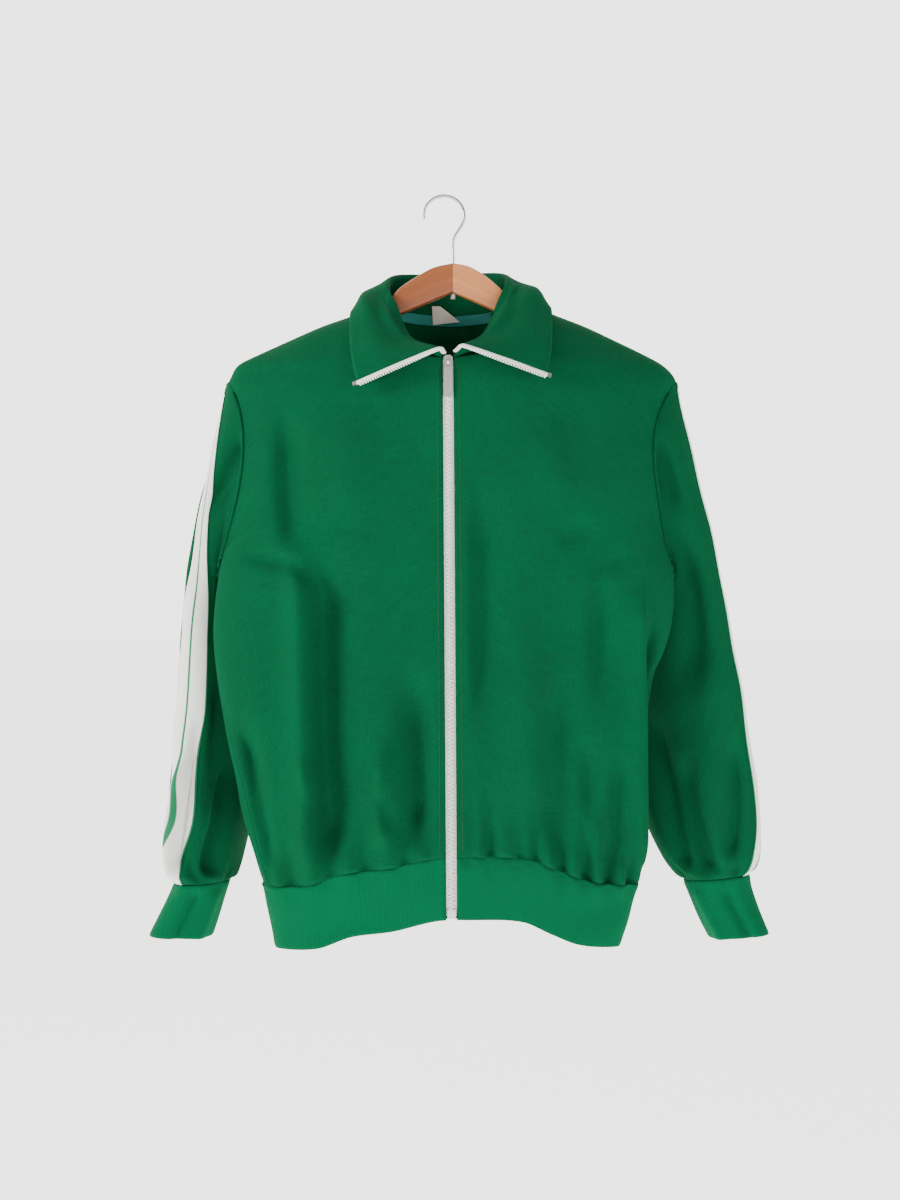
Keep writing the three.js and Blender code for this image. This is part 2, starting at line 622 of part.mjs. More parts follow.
// The ribbed band runs from one side of the zip round the back to the other
const BAND_COLS = 22; // on each side of the middle back
const BAND_ROWS = 3;
const BAND_GAP = 0.8;
function bandHalf(side) {
  return steps(BAND_ROWS).map((v) =>
    steps(BAND_COLS).map((u) => {
      const start = zipEdgeAngle(side, -690);
      const level = waistSeam(side, lerp(start, 180, u)) - BAND_GAP - v * (WAIST_BAND - BAND_GAP);
      const edge = zipEdgeAngle(side, level);
      return onTorso(side, { angle: lerp(edge, 180, u), z: level });
    }),
  );
}
const bandGrid = bandHalf(-1).map((row, i) => [...row, ...bandHalf(1)[i].reverse().slice(1)]);
addPiece("waistband", wall(bandGrid, RIB_WALL), "rib");
panelTrimmers.push(trimmer(bandGrid, RIB_WALL));

// The fold-over collar, from the zip (0) round to the back's middle (1), as reach from the axis:
// the roll line, the outer edge, and how far the fall puffs out between them
const COLLAR = {
  "-1": [
    { at: 0, rollX: 11, rollY: -68, rollZ: -163, edgeX: 92, edgeY: -68, edgeZ: -196, puff: 3 },
    { at: 0.17, rollX: 38, rollY: -45, rollZ: -151, edgeX: 100, edgeY: -47, edgeZ: -156, puff: 7 },
    { at: 0.33, rollX: 53, rollY: -21, rollZ: -122, edgeX: 101, edgeY: -20, edgeZ: -124, puff: 10 },
    { at: 0.5, rollX: 65, rollY: -2, rollZ: -91, edgeX: 99, edgeY: 6, edgeZ: -113, puff: 9 },
    { at: 0.67, rollX: 58, rollY: 38, rollZ: -71, edgeX: 88, edgeY: 42, edgeZ: -121, puff: 8 },
    { at: 0.83, rollX: 32, rollY: 52, rollZ: -68, edgeX: 48, edgeY: 60, edgeZ: -126, puff: 4 },
    { at: 1, rollX: 0, rollY: 56, rollZ: -67, edgeX: 0, edgeY: 63, edgeZ: -128, puff: 2 },
  ],
  1: [
    { at: 0, rollX: 13, rollY: -68, rollZ: -160, edgeX: 96, edgeY: -68, edgeZ: -188, puff: 3 },
    { at: 0.17, rollX: 33, rollY: -45, rollZ: -147, edgeX: 102, edgeY: -47, edgeZ: -152, puff: 7 },
    { at: 0.33, rollX: 46, rollY: -21, rollZ: -117, edgeX: 103, edgeY: -21, edgeZ: -121, puff: 10 },
    { at: 0.5, rollX: 59, rollY: -2, rollZ: -86, edgeX: 101, edgeY: 6, edgeZ: -110, puff: 10 },
    { at: 0.67, rollX: 55, rollY: 39, rollZ: -69, edgeX: 88, edgeY: 42, edgeZ: -119, puff: 9 },
    { at: 0.83, rollX: 32, rollY: 52, rollZ: -67, edgeX: 48, edgeY: 60, edgeZ: -126, puff: 4 },
    { at: 1, rollX: 0, rollY: 56, rollZ: -67, edgeX: 0, edgeY: 63, edgeZ: -128, puff: 2 },
  ],
};
const COLLAR_COLS = 15; // on each side of the middle back
const COLLAR_ROWS = 11;
const COLLAR_FRONT = 0.55; // share of the collar sewn to the fronts
const ROLL_HALF = 4.5; // half the distance across the roll
const STAND_OFF = { along: 0.3, up: 2.1, inward: 2.1 }; // the collar's first row from the neckline
function collarSection(side, at) {
  const v = (key) => column(COLLAR[side], "at", key, at);
  const sewn = at < COLLAR_FRONT ? neckFront(side, 1 - at / COLLAR_FRONT) : null;
  const seam = sewn || neckBack(side, (at - COLLAR_FRONT) / (1 - COLLAR_FRONT));
  const foot = torso(side, seam.angle, seam.z, false);
  const roll = new THREE.Vector3(AXIS_X + side * v("rollX"), v("rollY"), v("rollZ"));
  const edge = new THREE.Vector3(AXIS_X + side * v("edgeX"), v("edgeY"), v("edgeZ"));
  const rise = roll.clone().sub(foot).normalize();
  const fall = edge.clone().sub(roll).normalize();
  const out = new THREE.Vector3(side * v("rollX"), v("rollY") * 1.4, 0).normalize();
  const start = foot.clone().addScaledVector(rise, STAND_OFF.along).addScaledVector(out, -STAND_OFF.inward);
  start.z += STAND_OFF.up;
  const inner = roll.clone().addScaledVector(out, -ROLL_HALF).addScaledVector(rise, -ROLL_HALF);
  const outer = roll.clone().addScaledVector(out, ROLL_HALF).addScaledVector(fall, ROLL_HALF);
  const lift = new THREE.Vector3().crossVectors(fall, out).cross(fall).normalize();
  if (lift.dot(out) + lift.z < 0) lift.negate();
  const middle = outer.clone().lerp(edge, 0.5).addScaledVector(lift, v("puff"));
  return new THREE.CatmullRomCurve3([start, start.clone().lerp(inner, 0.5), inner, roll, outer, middle, edge]);
}
// Height of the shoulder ridge at a distance from the axis
function ridgeZ(side, x) {
  let low = ARM.tip;
  let high = TORSO[0].z;
  for (let i = 0; i < 24; i += 1) {
    const z = (low + high) / 2;
    if (Math.abs(torso(side, 90, z, false).x - AXIS_X) > Math.abs(x - AXIS_X)) low = z;
    else high = z;
  }
  return low;
}
// The fall rests on the shoulders and fronts, clear of them by a gap
const FALL_CLEAR = 4.5;
function restedOn(side, p, share) {
  const reach = side < 0 ? AXIS_X - torsoAt(p.z, "left") : torsoAt(p.z, "right") - AXIS_X;
  if (Math.abs(p.x - AXIS_X) >= reach) {
    const over = ridgeZ(side, p.x) + FALL_CLEAR * clamp01(2 - Math.abs(p.y) / 8);
    return new THREE.Vector3(p.x, p.y, lerp(p.z, Math.max(p.z, over), share));
  }
  const back = p.y > 0;
  const surface = torso(side, angleAt(side, p.x, p.z, back), p.z, false).y;
  const rested = back ? Math.max(p.y, surface + FALL_CLEAR) : Math.min(p.y, surface - FALL_CLEAR);
  return new THREE.Vector3(p.x, lerp(p.y, rested, share), p.z);
}
const FALL_STARTS = 0.55; // share of the section where the roll ends
function collarHalf(side) {
  const curves = steps(COLLAR_COLS).map((at) => collarSection(side, at));
  const share = (v) => smooth((v - FALL_STARTS) / 0.15);
  return steps(COLLAR_ROWS).map((v) => curves.map((curve) => restedOn(side, curve.getPoint(v), share(v))));
}
const collarHalves = { "-1": collarHalf(-1), 1: collarHalf(1) };
const collarGrid = collarHalves[-1].map((row, i) => [...row, ...collarHalves[1][i].reverse().slice(1)]);
const collarPlaces = withNormals(collarGrid, false, -1);
addPiece("collar", trimmed(wall(collarPlaces, COLLAR_WALL), panelTrimmers), "jersey");

// Zip tapes behind the panels' folded edges, and the chain between them
const ZIP_ROWS = 16;
const TAPE_BEHIND = BODY_WALL + 1.3;
const TAPE_REACH = 15;
const CHAIN_HALF = 2.2;
const SLIDER = { top: -170, foot: -183, half: 4.5, front: 3.2 };
const ZIP_SIDE_GAP = 0.3;
const ZIP_END = 2; // how far the tapes stop above the hem
function zipStrip(from, to, top, foot, behind) {
  return steps(ZIP_ROWS).map((v) => {
    const z = lerp(top, foot, v);
    return steps(2).map((u) => {
      const x = zipX(z) + lerp(from, to, u);
      const side = Math.sign(x - AXIS_X) || 1;
      const p = torso(side, angleAt(side, x, z), z);
      return { p: new THREE.Vector3(x, p.y + behind, z), n: new THREE.Vector3(0, -1, 0) };
    });
  });
}
for (const { side, word } of SIDES) {
  const end = ZIP_FOOT.z + ZIP_END;
  const strip = zipStrip(side * ZIP_SIDE_GAP, side * TAPE_REACH, SLIDER.top, end, TAPE_BEHIND);
  addPiece("zip_tape_" + word, trimmed(wall(strip, TAPE_WALL), panelTrimmers), "white");
}
const BOX_TALL = 9;
const chainFoot = ZIP_FOOT.z + BOX_TALL;
const chain = zipStrip(-CHAIN_HALF, CHAIN_HALF, SLIDER.foot - SEAM, chainFoot + SEAM, 0);
addPiece("zip_chain", wall(chain, TAPE_BEHIND - 2 * SEAM), "white");

// A flat shape in X and Z, made thick along Y between two depths
function plate(points, front, back) {
  const shape = new THREE.Shape(points.map(([x, z]) => new THREE.Vector2(x, z)));
  const deep = { depth: back - front, bevelEnabled: false };
  return { shape, solid: () => standing(new THREE.ExtrudeGeometry(shape, deep), front) };
}
// Turns a shape drawn in X and Y and extruded along Z so that it stands in X and Z, its front at a given Y
function standing(geometry, front) {
  const basis = new THREE.Matrix4().makeBasis(
    new THREE.Vector3(1, 0, 0),
    new THREE.Vector3(0, 0, 1),
    new THREE.Vector3(0, -1, 0),
  );
  geometry.applyMatrix4(basis);
  geometry.computeBoundingBox();
  geometry.translate(0, front - geometry.boundingBox.min.y, 0);
  return geometry;
}

const zipFront = (z) => torso(1, zipEdgeAngle(1, z), z).y;
const zipBox = plate(
  [
    [ZIP_FOOT.x - 4, ZIP_FOOT.z],
    [ZIP_FOOT.x + 4, ZIP_FOOT.z],
    [ZIP_FOOT.x + 4, chainFoot],
    [ZIP_FOOT.x - 4, chainFoot],
  ],
  zipFront(ZIP_FOOT.z) - 1,
  zipFront(ZIP_FOOT.z) + 2,
);
addPiece("zip_box", zipBox.solid(), "steel");

// Slider: a shield-shaped body with an arched bridge that carries the pull tab
const sliderX = zipX((SLIDER.top + SLIDER.foot) / 2);
const sliderFace = zipFront(SLIDER.top) - SLIDER.front;
const PIVOT = { out: 1.5, z: -176 };
const BRIDGE = { inside: 3.2, outside: 4.6, wide: 1.8, root: 1 };
const sliderBody = plate(
  [
    [sliderX - 3, SLIDER.foot],
    [sliderX + 3, SLIDER.foot],
    [sliderX + SLIDER.half, SLIDER.foot + 5],
    [sliderX + SLIDER.half, SLIDER.top - 2],
    [sliderX + 2.5, SLIDER.top],
    [sliderX - 2.5, SLIDER.top],
    [sliderX - SLIDER.half, SLIDER.top - 2],
    [sliderX - SLIDER.half, SLIDER.foot + 5],
  ],
  sliderFace,
  zipFront(SLIDER.foot) + TAPE_BEHIND - 2 * SEAM,
);
function bridgeArch() {
  const shape = new THREE.Shape();
  shape.moveTo(-BRIDGE.root, -BRIDGE.outside);
  shape.lineTo(0, -BRIDGE.outside);
  shape.absarc(0, 0, BRIDGE.outside, -Math.PI / 2, Math.PI / 2, false);
  shape.lineTo(-BRIDGE.root, BRIDGE.outside);
  shape.lineTo(-BRIDGE.root, BRIDGE.inside);
  shape.lineTo(0, BRIDGE.inside);
  shape.absarc(0, 0, BRIDGE.inside, Math.PI / 2, -Math.PI / 2, true);
  shape.lineTo(-BRIDGE.root, -BRIDGE.inside);
  const deep = { depth: BRIDGE.wide, bevelEnabled: false, curveSegments: 8 };
  const arch = new THREE.ExtrudeGeometry(shape, deep);
  arch.applyMatrix4(
    new THREE.Matrix4().makeBasis(
      new THREE.Vector3(0, -1, 0),
      new THREE.Vector3(0, 0, 1),
      new THREE.Vector3(-1, 0, 0),
    ),
  );
  arch.translate(sliderX + BRIDGE.wide / 2, sliderFace, PIVOT.z);
  return arch;
}
addPiece("zip_slider", geometryOf(solidOf(sliderBody.solid()).add(solidOf(bridgeArch()))), "steel");

// Pull tab: a plate with a window for the bridge, its top bar on the joint's axis
const TAB = {
  half: 4.3,
  neck: 3.2,
  bar: 0.8,
  window: 2.1,
  windowTall: 5.2,
  neckTall: 6.4,
  foot: -211,
  shoulder: -185,
};
const tab = plate(
  [
    [sliderX - TAB.neck, PIVOT.z + TAB.bar],
    [sliderX - TAB.neck, PIVOT.z - TAB.neckTall],
    [sliderX - TAB.half, TAB.shoulder],
    [sliderX - TAB.half, TAB.foot + 1.5],
    [sliderX - TAB.half + 1.5, TAB.foot],
    [sliderX + TAB.half - 1.5, TAB.foot],
    [sliderX + TAB.half, TAB.foot + 1.5],
    [sliderX + TAB.half, TAB.shoulder],
    [sliderX + TAB.neck, PIVOT.z - TAB.neckTall],
    [sliderX + TAB.neck, PIVOT.z + TAB.bar],
  ],
  sliderFace - PIVOT.out - TAB.bar,
  sliderFace - PIVOT.out + TAB.bar,
);
tab.shape.holes.push(
  new THREE.Path([
    new THREE.Vector2(sliderX - TAB.window, PIVOT.z - TAB.bar),
    new THREE.Vector2(sliderX + TAB.window, PIVOT.z - TAB.bar),
    new THREE.Vector2(sliderX + TAB.window, PIVOT.z - TAB.windowTall),
    new THREE.Vector2(sliderX - TAB.window, PIVOT.z - TAB.windowTall),
  ]),
);
addPiece("pull_tab", tab.solid(), "steel");

// The parted zip along the collar's front edges
const EDGE_WIDE = 4.5;
const EDGE_THICK = 2.4;
const EDGE_FIRST_ROW = 6;
const STOP_LONG = 4;
for (const { side, word } of SIDES) {
  const cols = collarPlaces[0].length;
  const own = side < 0 ? 0 : cols - 1;
  const next = side < 0 ? 1 : cols - 2;
  const strip = collarPlaces.slice(EDGE_FIRST_ROW).map((row) => {
    const away = row[own].p.clone().sub(row[next].p);
    away.addScaledVector(row[own].n, -away.dot(row[own].n)).normalize();
    const { p, n } = row[own];
    return [SEAM, EDGE_WIDE].map((out) => ({ p: p.clone().addScaledVector(away, out), n }));
  });
  addPiece("zip_edge_" + word, trimmed(wall(strip, EDGE_THICK), panelTrimmers), "white");
  const [before, end] = strip.slice(-2);
  const onward = end[0].p.clone().sub(before[0].p).normalize();
  const stop = [SEAM, STOP_LONG].map((out) =>
    end.map((place) => ({ p: place.p.clone().addScaledVector(onward, out), n: place.n })),
  );
  addPiece("zip_stop_" + word, wall(stop, EDGE_THICK), "steel");
}

// Tape inside the back neck seam, from the collar's own foot, and the folded label that hangs before it
const NECK_TAPE = { left: -47, right: 51, tall: 10.5 };
const tapeFoot = collarPlaces[0].filter(({ p }) => p.y > 0 && p.x > NECK_TAPE.left && p.x < NECK_TAPE.right);
const neckTape = [0, NECK_TAPE.tall].map((drop) =>
  tapeFoot.map((place) => {
    const top = lifted(place, SEAM + TAPE_WALL);
    return { p: top.p.setZ(place.p.z - drop), n: top.n };
  }),
);
addPiece("neck_tape", trimmed(wall(neckTape, TAPE_WALL), panelTrimmers), "teal");
const LABEL = [
  [-11.8, -123.3],
  [16.6, -120],
  [-4.4, -103.4],
  [-12.8, -103.4],
];
function neckTapeFront(x) {
  const row = neckTape[0].map(({ p }) => p);
  const i = row.findIndex((p) => p.x > x);
  return lerp(row[i - 1].y, row[i].y, (x - row[i - 1].x) / (row[i].x - row[i - 1].x));
}
const labelBack = Math.min(...LABEL.map(([x]) => neckTapeFront(x))) - SEAM;
addPiece("label", plate(LABEL, labelBack - TAPE_WALL, labelBack).solid(), "label");

// Hanger arms: top and bottom lines from the middle seam out to the rounded tip
const ARM_LINES = {
  "-1": [
    { x: 9.05, top: -67.8, foot: -97.5 },
    { x: -10, top: -72, foot: -105.5 },
    { x: -26.5, top: -80.6, foot: -112.5 },
    { x: -45, top: -93, foot: -120 },
    { x: -54, top: -103, foot: -124 },
    { x: -66, top: -117, foot: -130 },
    { x: -80, top: -125.5, foot: -138 },
    { x: -100, top: -133.5, foot: -148 },
    { x: -150, top: -151, foot: -168 },
    { x: -188, top: -170, foot: -185 },
    { x: -200, top: -178, foot: -187 },
  ],
  1: [
    { x: 9.35, top: -67.8, foot: -97.5 },
    { x: 25, top: -71, foot: -104.3 },
    { x: 41, top: -80, foot: -111.4 },
    { x: 60, top: -96, foot: -120 },
    { x: 78, top: -113, foot: -129 },
    { x: 96, top: -121, foot: -137 },
    { x: 116, top: -129.5, foot: -146 },
    { x: 160, top: -148, foot: -166 },
    { x: 200, top: -169, foot: -186 },
    { x: 213, top: -177, foot: -188 },
  ],
};
const BORE_RADIUS = WIRE_RADIUS + 0.35;
const bore = new THREE.CylinderGeometry(BORE_RADIUS, BORE_RADIUS, 60, 16);
bore.rotateX(Math.PI / 2);
bore.translate(SHANK_X, 0, -85);
for (const { side, word } of SIDES) {
  const rows = ARM_LINES[side];
  const outline = [...rows.map((row) => [row.x, row.top]), ...rows.map((row) => [row.x, row.foot]).reverse()];
  const arm = plate(outline, -HANGER_THICK / 2, HANGER_THICK / 2).solid();
  const look = side < 0 ? "darkWood" : "lightWood";
  addPiece("hanger_arm_" + word, geometryOf(solidOf(arm).subtract(solidOf(bore))), look);
}

// Hook: the free end, the round and the neck into the shank, of one wire
const ringRadius = HOOK_INSIDE + WIRE_RADIUS;
const HOOK_ENDS = { free: 190, neck: -38 };
const HOOK_ARC_STEPS = 20;
const wirePath = new THREE.CatmullRomCurve3([
  ...steps(HOOK_ARC_STEPS).map((u) => {
    const a = lerp(HOOK_ENDS.free, HOOK_ENDS.neck, u) * DEG;
    return new THREE.Vector3(ringRadius * Math.cos(a), 0, ringRadius * Math.sin(a) - HOOK_INSIDE);
  }),
  new THREE.Vector3(10.4, 0, -41.5),
  new THREE.Vector3(8.9, 0, -48),
  new THREE.Vector3(SHANK_X, 0, -56),
  new THREE.Vector3(SHANK_X, 0, -76),
  new THREE.Vector3(SHANK_X, 0, -99),
]);
const wireSection = new THREE.Shape(
  steps(8)
    .slice(0, -1)
    .map((u) => u * 2 * Math.PI)
    .map((turn) => new THREE.Vector2(WIRE_RADIUS * Math.cos(turn), WIRE_RADIUS * Math.sin(turn))),
);
addPiece("hook", new THREE.ExtrudeGeometry(wireSection, { steps: 48, extrudePath: wirePath }), "steel");
const NUT = { radius: 3, tall: 4.6, top: -99.4 };
const nut = new THREE.CylinderGeometry(NUT.radius, NUT.radius, NUT.tall, 12);
nut.rotateX(Math.PI / 2);
nut.translate(SHANK_X, 0, NUT.top - NUT.tall / 2);
addPiece("hook_nut", nut, "steel");

export default group;
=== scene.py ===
import math

import bmesh
import bpy
import numpy as np
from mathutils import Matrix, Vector


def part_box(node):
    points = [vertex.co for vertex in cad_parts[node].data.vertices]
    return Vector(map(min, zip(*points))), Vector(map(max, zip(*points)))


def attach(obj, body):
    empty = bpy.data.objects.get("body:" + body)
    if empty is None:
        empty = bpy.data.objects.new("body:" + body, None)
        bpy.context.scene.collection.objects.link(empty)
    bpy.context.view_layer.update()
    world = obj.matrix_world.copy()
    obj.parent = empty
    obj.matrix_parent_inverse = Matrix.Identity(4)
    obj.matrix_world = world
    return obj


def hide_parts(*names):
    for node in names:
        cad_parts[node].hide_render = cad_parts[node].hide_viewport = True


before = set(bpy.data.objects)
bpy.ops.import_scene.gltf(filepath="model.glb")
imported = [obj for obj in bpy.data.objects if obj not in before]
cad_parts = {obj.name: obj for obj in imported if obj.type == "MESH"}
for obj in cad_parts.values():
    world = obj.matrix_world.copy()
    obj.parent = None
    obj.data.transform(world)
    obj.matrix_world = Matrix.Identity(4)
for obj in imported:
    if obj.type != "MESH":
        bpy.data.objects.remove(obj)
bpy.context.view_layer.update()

MM = 0.001
BODY_WALL = 2.0
RIB_WALL = 2.4
COLLAR_WALL = 2.2
TAPE_WALL = 0.8
SEAM = 0.3
TAPE_LIFT = 0.1
SEWN = 0.6
AXIS_X = 6.0
NECK_FRONT_Z = -171.0
WAIST_BAND = 63.0
ZIP_TOP = (4.1, -169.0)
ZIP_FOOT = (7.8, -726.0)
ZIP_GAP = 5.2
STRIPE_HALF = 19.0
HANGER_THICK = 12.0
WIRE_RADIUS = 1.65
HOOK_INSIDE = 19.0
SHANK_X = 9.2
SIDES = ((-1, "right"), (1, "left"))


def lerp(a, b, t):
    return a + (b - a) * t


def smooth(t):
    k = np.clip(t, 0, 1)
    return k * k * (3 - 2 * k)


def sind(turn):
    return np.sin(np.radians(turn))


def cosd(turn):
    return np.cos(np.radians(turn))


def numbers(text):
    """Rows of numbers, one row to a line."""
    return [[float(word) for word in line.split()] for line in text.strip().splitlines()]


def table(text):
    """Columns of numbers under the names in the first line."""
    names, rows = text.strip().split("\n", 1)
    return dict(zip(names.split(), np.array(numbers(rows)).T))


def hermite(a, b, slope_a, slope_b, t):
    t2, t3 = t * t, t * t * t
    start = (2 * t3 - 3 * t2 + 1) * a + (t3 - 2 * t2 + t) * slope_a
    return start + (3 * t2 - 2 * t3) * b + (t3 - t2) * slope_b


def column(tab, key, place):
    """Smooth value of one column of a table whose first column runs steadily."""
    xs, ys = next(iter(tab.values())), tab[key]
    place = np.asarray(place, float)
    sign = 1 if xs[-1] > xs[0] else -1
    last = len(xs) - 1
    i = np.clip(np.searchsorted(sign * xs[1:], sign * place, side="left"), 0, last - 1)
    span = xs[i + 1] - xs[i]
    t = np.clip((place - xs[i]) / span, 0, 1)

    def slope(j):
        before, after = np.clip(j - 1, 0, last), np.clip(j + 1, 0, last)
        return (ys[after] - ys[before]) / (xs[after] - xs[before]) * span

    return hermite(ys[i], ys[i + 1], slope(i), slope(i + 1), t)


# The torso's level sections, as in the CAD
TORSO = table("""
z left right front back mid squareF squareB
-104 -56 76 34 46 0 1.6 1.7
-112 -73 93 38 48 0 1.5 1.6
-120 -90 112 41 49 0 1.5 1.5
-132 -124 143 45 51 0 1.5 1.5
-146 -156 173 49 53 0 1.5 1.5
-160 -187 202 53 54 0 1.5 1.5
-171 -209 222 56 55 0 1.55 1.5
-183 -217 234 57 56 0 1.6 1.55
-195 -221 237 58 56 -1 1.7 1.6
-240 -220 230 60 56 -4 2.1 1.8
-310 -219 226 61 56 -9 2.6 1.8
-350 -221 224 61 56 -14 2.8 1.75
-385 -227 231 62 56 -18 2.9 1.7
-438 -232 228 62 56 -20 3 1.7
-489 -228 214 62 56 -20 3 1.7
-554 -217 205 62 55 -20 3 1.7
-617 -204 205 61 54 -19 2.8 1.8
-662 -194 202 59 52 -16 2.7 1.9
-698 -185 197 54 48 -12 2.6 2
-730 -178 188 50 45 -10 2.5 2
-764 -171 178 48 43 -10 2.5 2
""")


def reach_of(side, z):
    return AXIS_X - column(TORSO, "left", z) if side < 0 else column(TORSO, "right", z) - AXIS_X


def section(z, front):
    """A level section's middle, its depth from there to one face, and how square that face is."""
    mid = column(TORSO, "mid", z)
    depth = np.where(front, column(TORSO, "front", z) + mid, column(TORSO, "back", z) - mid)
    return mid, depth, np.where(front, column(TORSO, "squareF", z), column(TORSO, "squareB", z))


def torso(side, angle, z):
    """Points of the torso's outer face: angle 0 at the front's middle to 180 at the back's."""
    angle, z = np.broadcast_arrays(np.asarray(angle, float), np.asarray(z, float))
    front = np.abs(angle) <= 90
    mid, depth, square = section(z, front)
    s, c = sind(angle), np.abs(cosd(angle))
    k = (np.abs(s) ** square + c**square) ** (-1 / square)
    y = mid + np.where(front, -depth, depth) * c * k
    return np.stack([AXIS_X + side * reach_of(side, z) * s * k, y, z], -1)


def angle_at(side, x, z, back=False):
    x, z = np.broadcast_arrays(np.asarray(x, float), np.asarray(z, float))
    low, high = np.zeros(x.shape), np.full(x.shape, 90.0)
    for _ in range(26):
        mid = (low + high) / 2
        p = torso(side, 180 - mid if back else mid, z)
        inside = np.abs(p[..., 0] - AXIS_X) < np.abs(x - AXIS_X)
        low, high = np.where(inside, mid, low), np.where(inside, high, mid)
    return 180 - low if back else low


WAIST_SEAM = table("""
x front back
-190 -699 -698
-140 -696 -695
-100 -683 -690
-55 -677 -686
-12 -667 -683
18 -665 -682
80 -667 -684
115 -680 -689
150 -692 -694
200 -698 -698
""")


def waist_seam(side, angle):
    x = torso(side, angle, -690.0)[..., 0]
    front, back = column(WAIST_SEAM, "front", x), column(WAIST_SEAM, "back", x)
    return lerp(front, back, smooth((np.asarray(angle, float) - 70) / 50))


def zip_x(z):
    return lerp(ZIP_TOP[0], ZIP_FOOT[0], (ZIP_TOP[1] - z) / (ZIP_TOP[1] - ZIP_FOOT[1]))


def zip_edge_angle(side, z, gap=ZIP_GAP):
    return angle_at(side, zip_x(z) + side * gap, z)


ARM = {"tip": -189.0, "pit": -392.0, "front": 31.0, "back": 27.0, "drift": 8.0}


def armhole(turn, inset=0.0):
    turn = np.asarray(turn, float)
    s, c = sind(turn), cosd(turn)
    wide = np.where(s > 0, ARM["front"], -ARM["back"]) * np.abs(s) ** 1.15 * (1 - inset)
    z = (ARM["tip"] + ARM["pit"]) / 2 + ((ARM["tip"] - ARM["pit"]) / 2 - inset * 100) * c
    return 90 - wide + ARM["drift"] * (1 - c) / 2, z


NECK_POINT = {-1: -108.6, 1: -105.0}
NECK_BACK_Z = -116.0


def neck(side, t, back=False):
    """Angle and height of the neckline, from its lowest point (t = 1) up to the shoulder (t = 0)."""
    top, turn = NECK_POINT[side], np.asarray(t, float) * 90
    z = lerp(top, NECK_BACK_Z if back else NECK_FRONT_Z, sind(turn))
    middle = AXIS_X if back else zip_x(NECK_FRONT_Z) + side * ZIP_GAP
    return angle_at(side, lerp(middle, torso(side, 90, top)[0], cosd(turn)), z, back), z


SIDE_SEAM = table("""
z right left
-392 98 98
-440 92 97
-500 76 96
-560 66 94
-640 64 92
-764 66 90
""")


def side_seam(side, z):
    return column(SIDE_SEAM, "right" if side < 0 else "left", z)


NECK_SHARE = 5 / 22
ARM_SHARE = 0.4
FOOT_SHARE = 0.25


def past(v, start):
    """How far v is beyond a start, as a share of what is left."""
    return np.clip((v - start) / (1 - start), 0, 1)


def choose(test, a, b):
    return tuple(np.where(test, x, y) for x, y in zip(a, b))


def outer_end(side, v, facing, first_turn):
    hole = armhole(facing * lerp(first_turn, 180, np.minimum(v, ARM_SHARE) / ARM_SHARE))
    z = lerp(ARM["pit"], waist_seam(side, side_seam(side, -698.0)), past(v, ARM_SHARE))
    return choose(v >= ARM_SHARE, (side_seam(side, z), z), hole)


def zip_end(side, v):
    neckline = neck(side, np.minimum(v, NECK_SHARE) / NECK_SHARE)
    z = lerp(NECK_FRONT_Z, waist_seam(side, zip_edge_angle(side, -666.0)), past(v, NECK_SHARE))
    return choose(v >= NECK_SHARE, (zip_edge_angle(side, z), z), neckline)


def arch_at(side, a, b, angle, u, v):
    arch = waist_seam(side, angle) - lerp(waist_seam(side, a), waist_seam(side, b), u)
    return arch * smooth((v - 1 + FOOT_SHARE) / FOOT_SHARE)


def front_places(side, rows, cols):
    v, u = np.linspace(0, 1, rows)[:, None], np.linspace(0, 1, cols)[None, :]
    a, b = zip_end(side, v), outer_end(side, v, 1, 0)
    angle = lerp(a[0], b[0], u)
    return np.stack([angle, lerp(a[1], b[1], u) + arch_at(side, a[0], b[0], angle, u, v)], -1)


NECK_COLS = 4
BACK_COLS = 11
PANEL_ROWS = 22
FIRST_TURN = 33.0
TOP_ROWS = 2
BLEND_SHARE = 0.3


def back_top(side):
    col = np.arange(BACK_COLS + 1)
    neckline = neck(side, 1 - np.minimum(col, NECK_COLS) / NECK_COLS, True)
    t = np.clip((col - NECK_COLS) / (BACK_COLS - NECK_COLS), 0, 1)
    return choose(col > NECK_COLS, (90.0, lerp(NECK_POINT[side], ARM["tip"], t)), neckline)


def walk_down(side, start, distance, shift):
    """Walks down the back from the ridge or neckline, drifting across by a given shift."""
    angle, z = start[0].copy(), start[1].copy()
    origin = torso(side, angle, z)
    last, gone = origin.copy(), np.zeros(z.shape)
    while (gone < distance).any():
        on = gone < distance
        z = np.where(on, z - 0.5, z)
        angle = np.where(on, angle_at(side, origin[:, 0] + shift * gone / distance, z, True), angle)
        here = torso(side, angle, z)
        gone = gone + np.where(on, np.linalg.norm(here - last, axis=-1), 0)
        last = here
    return angle, z


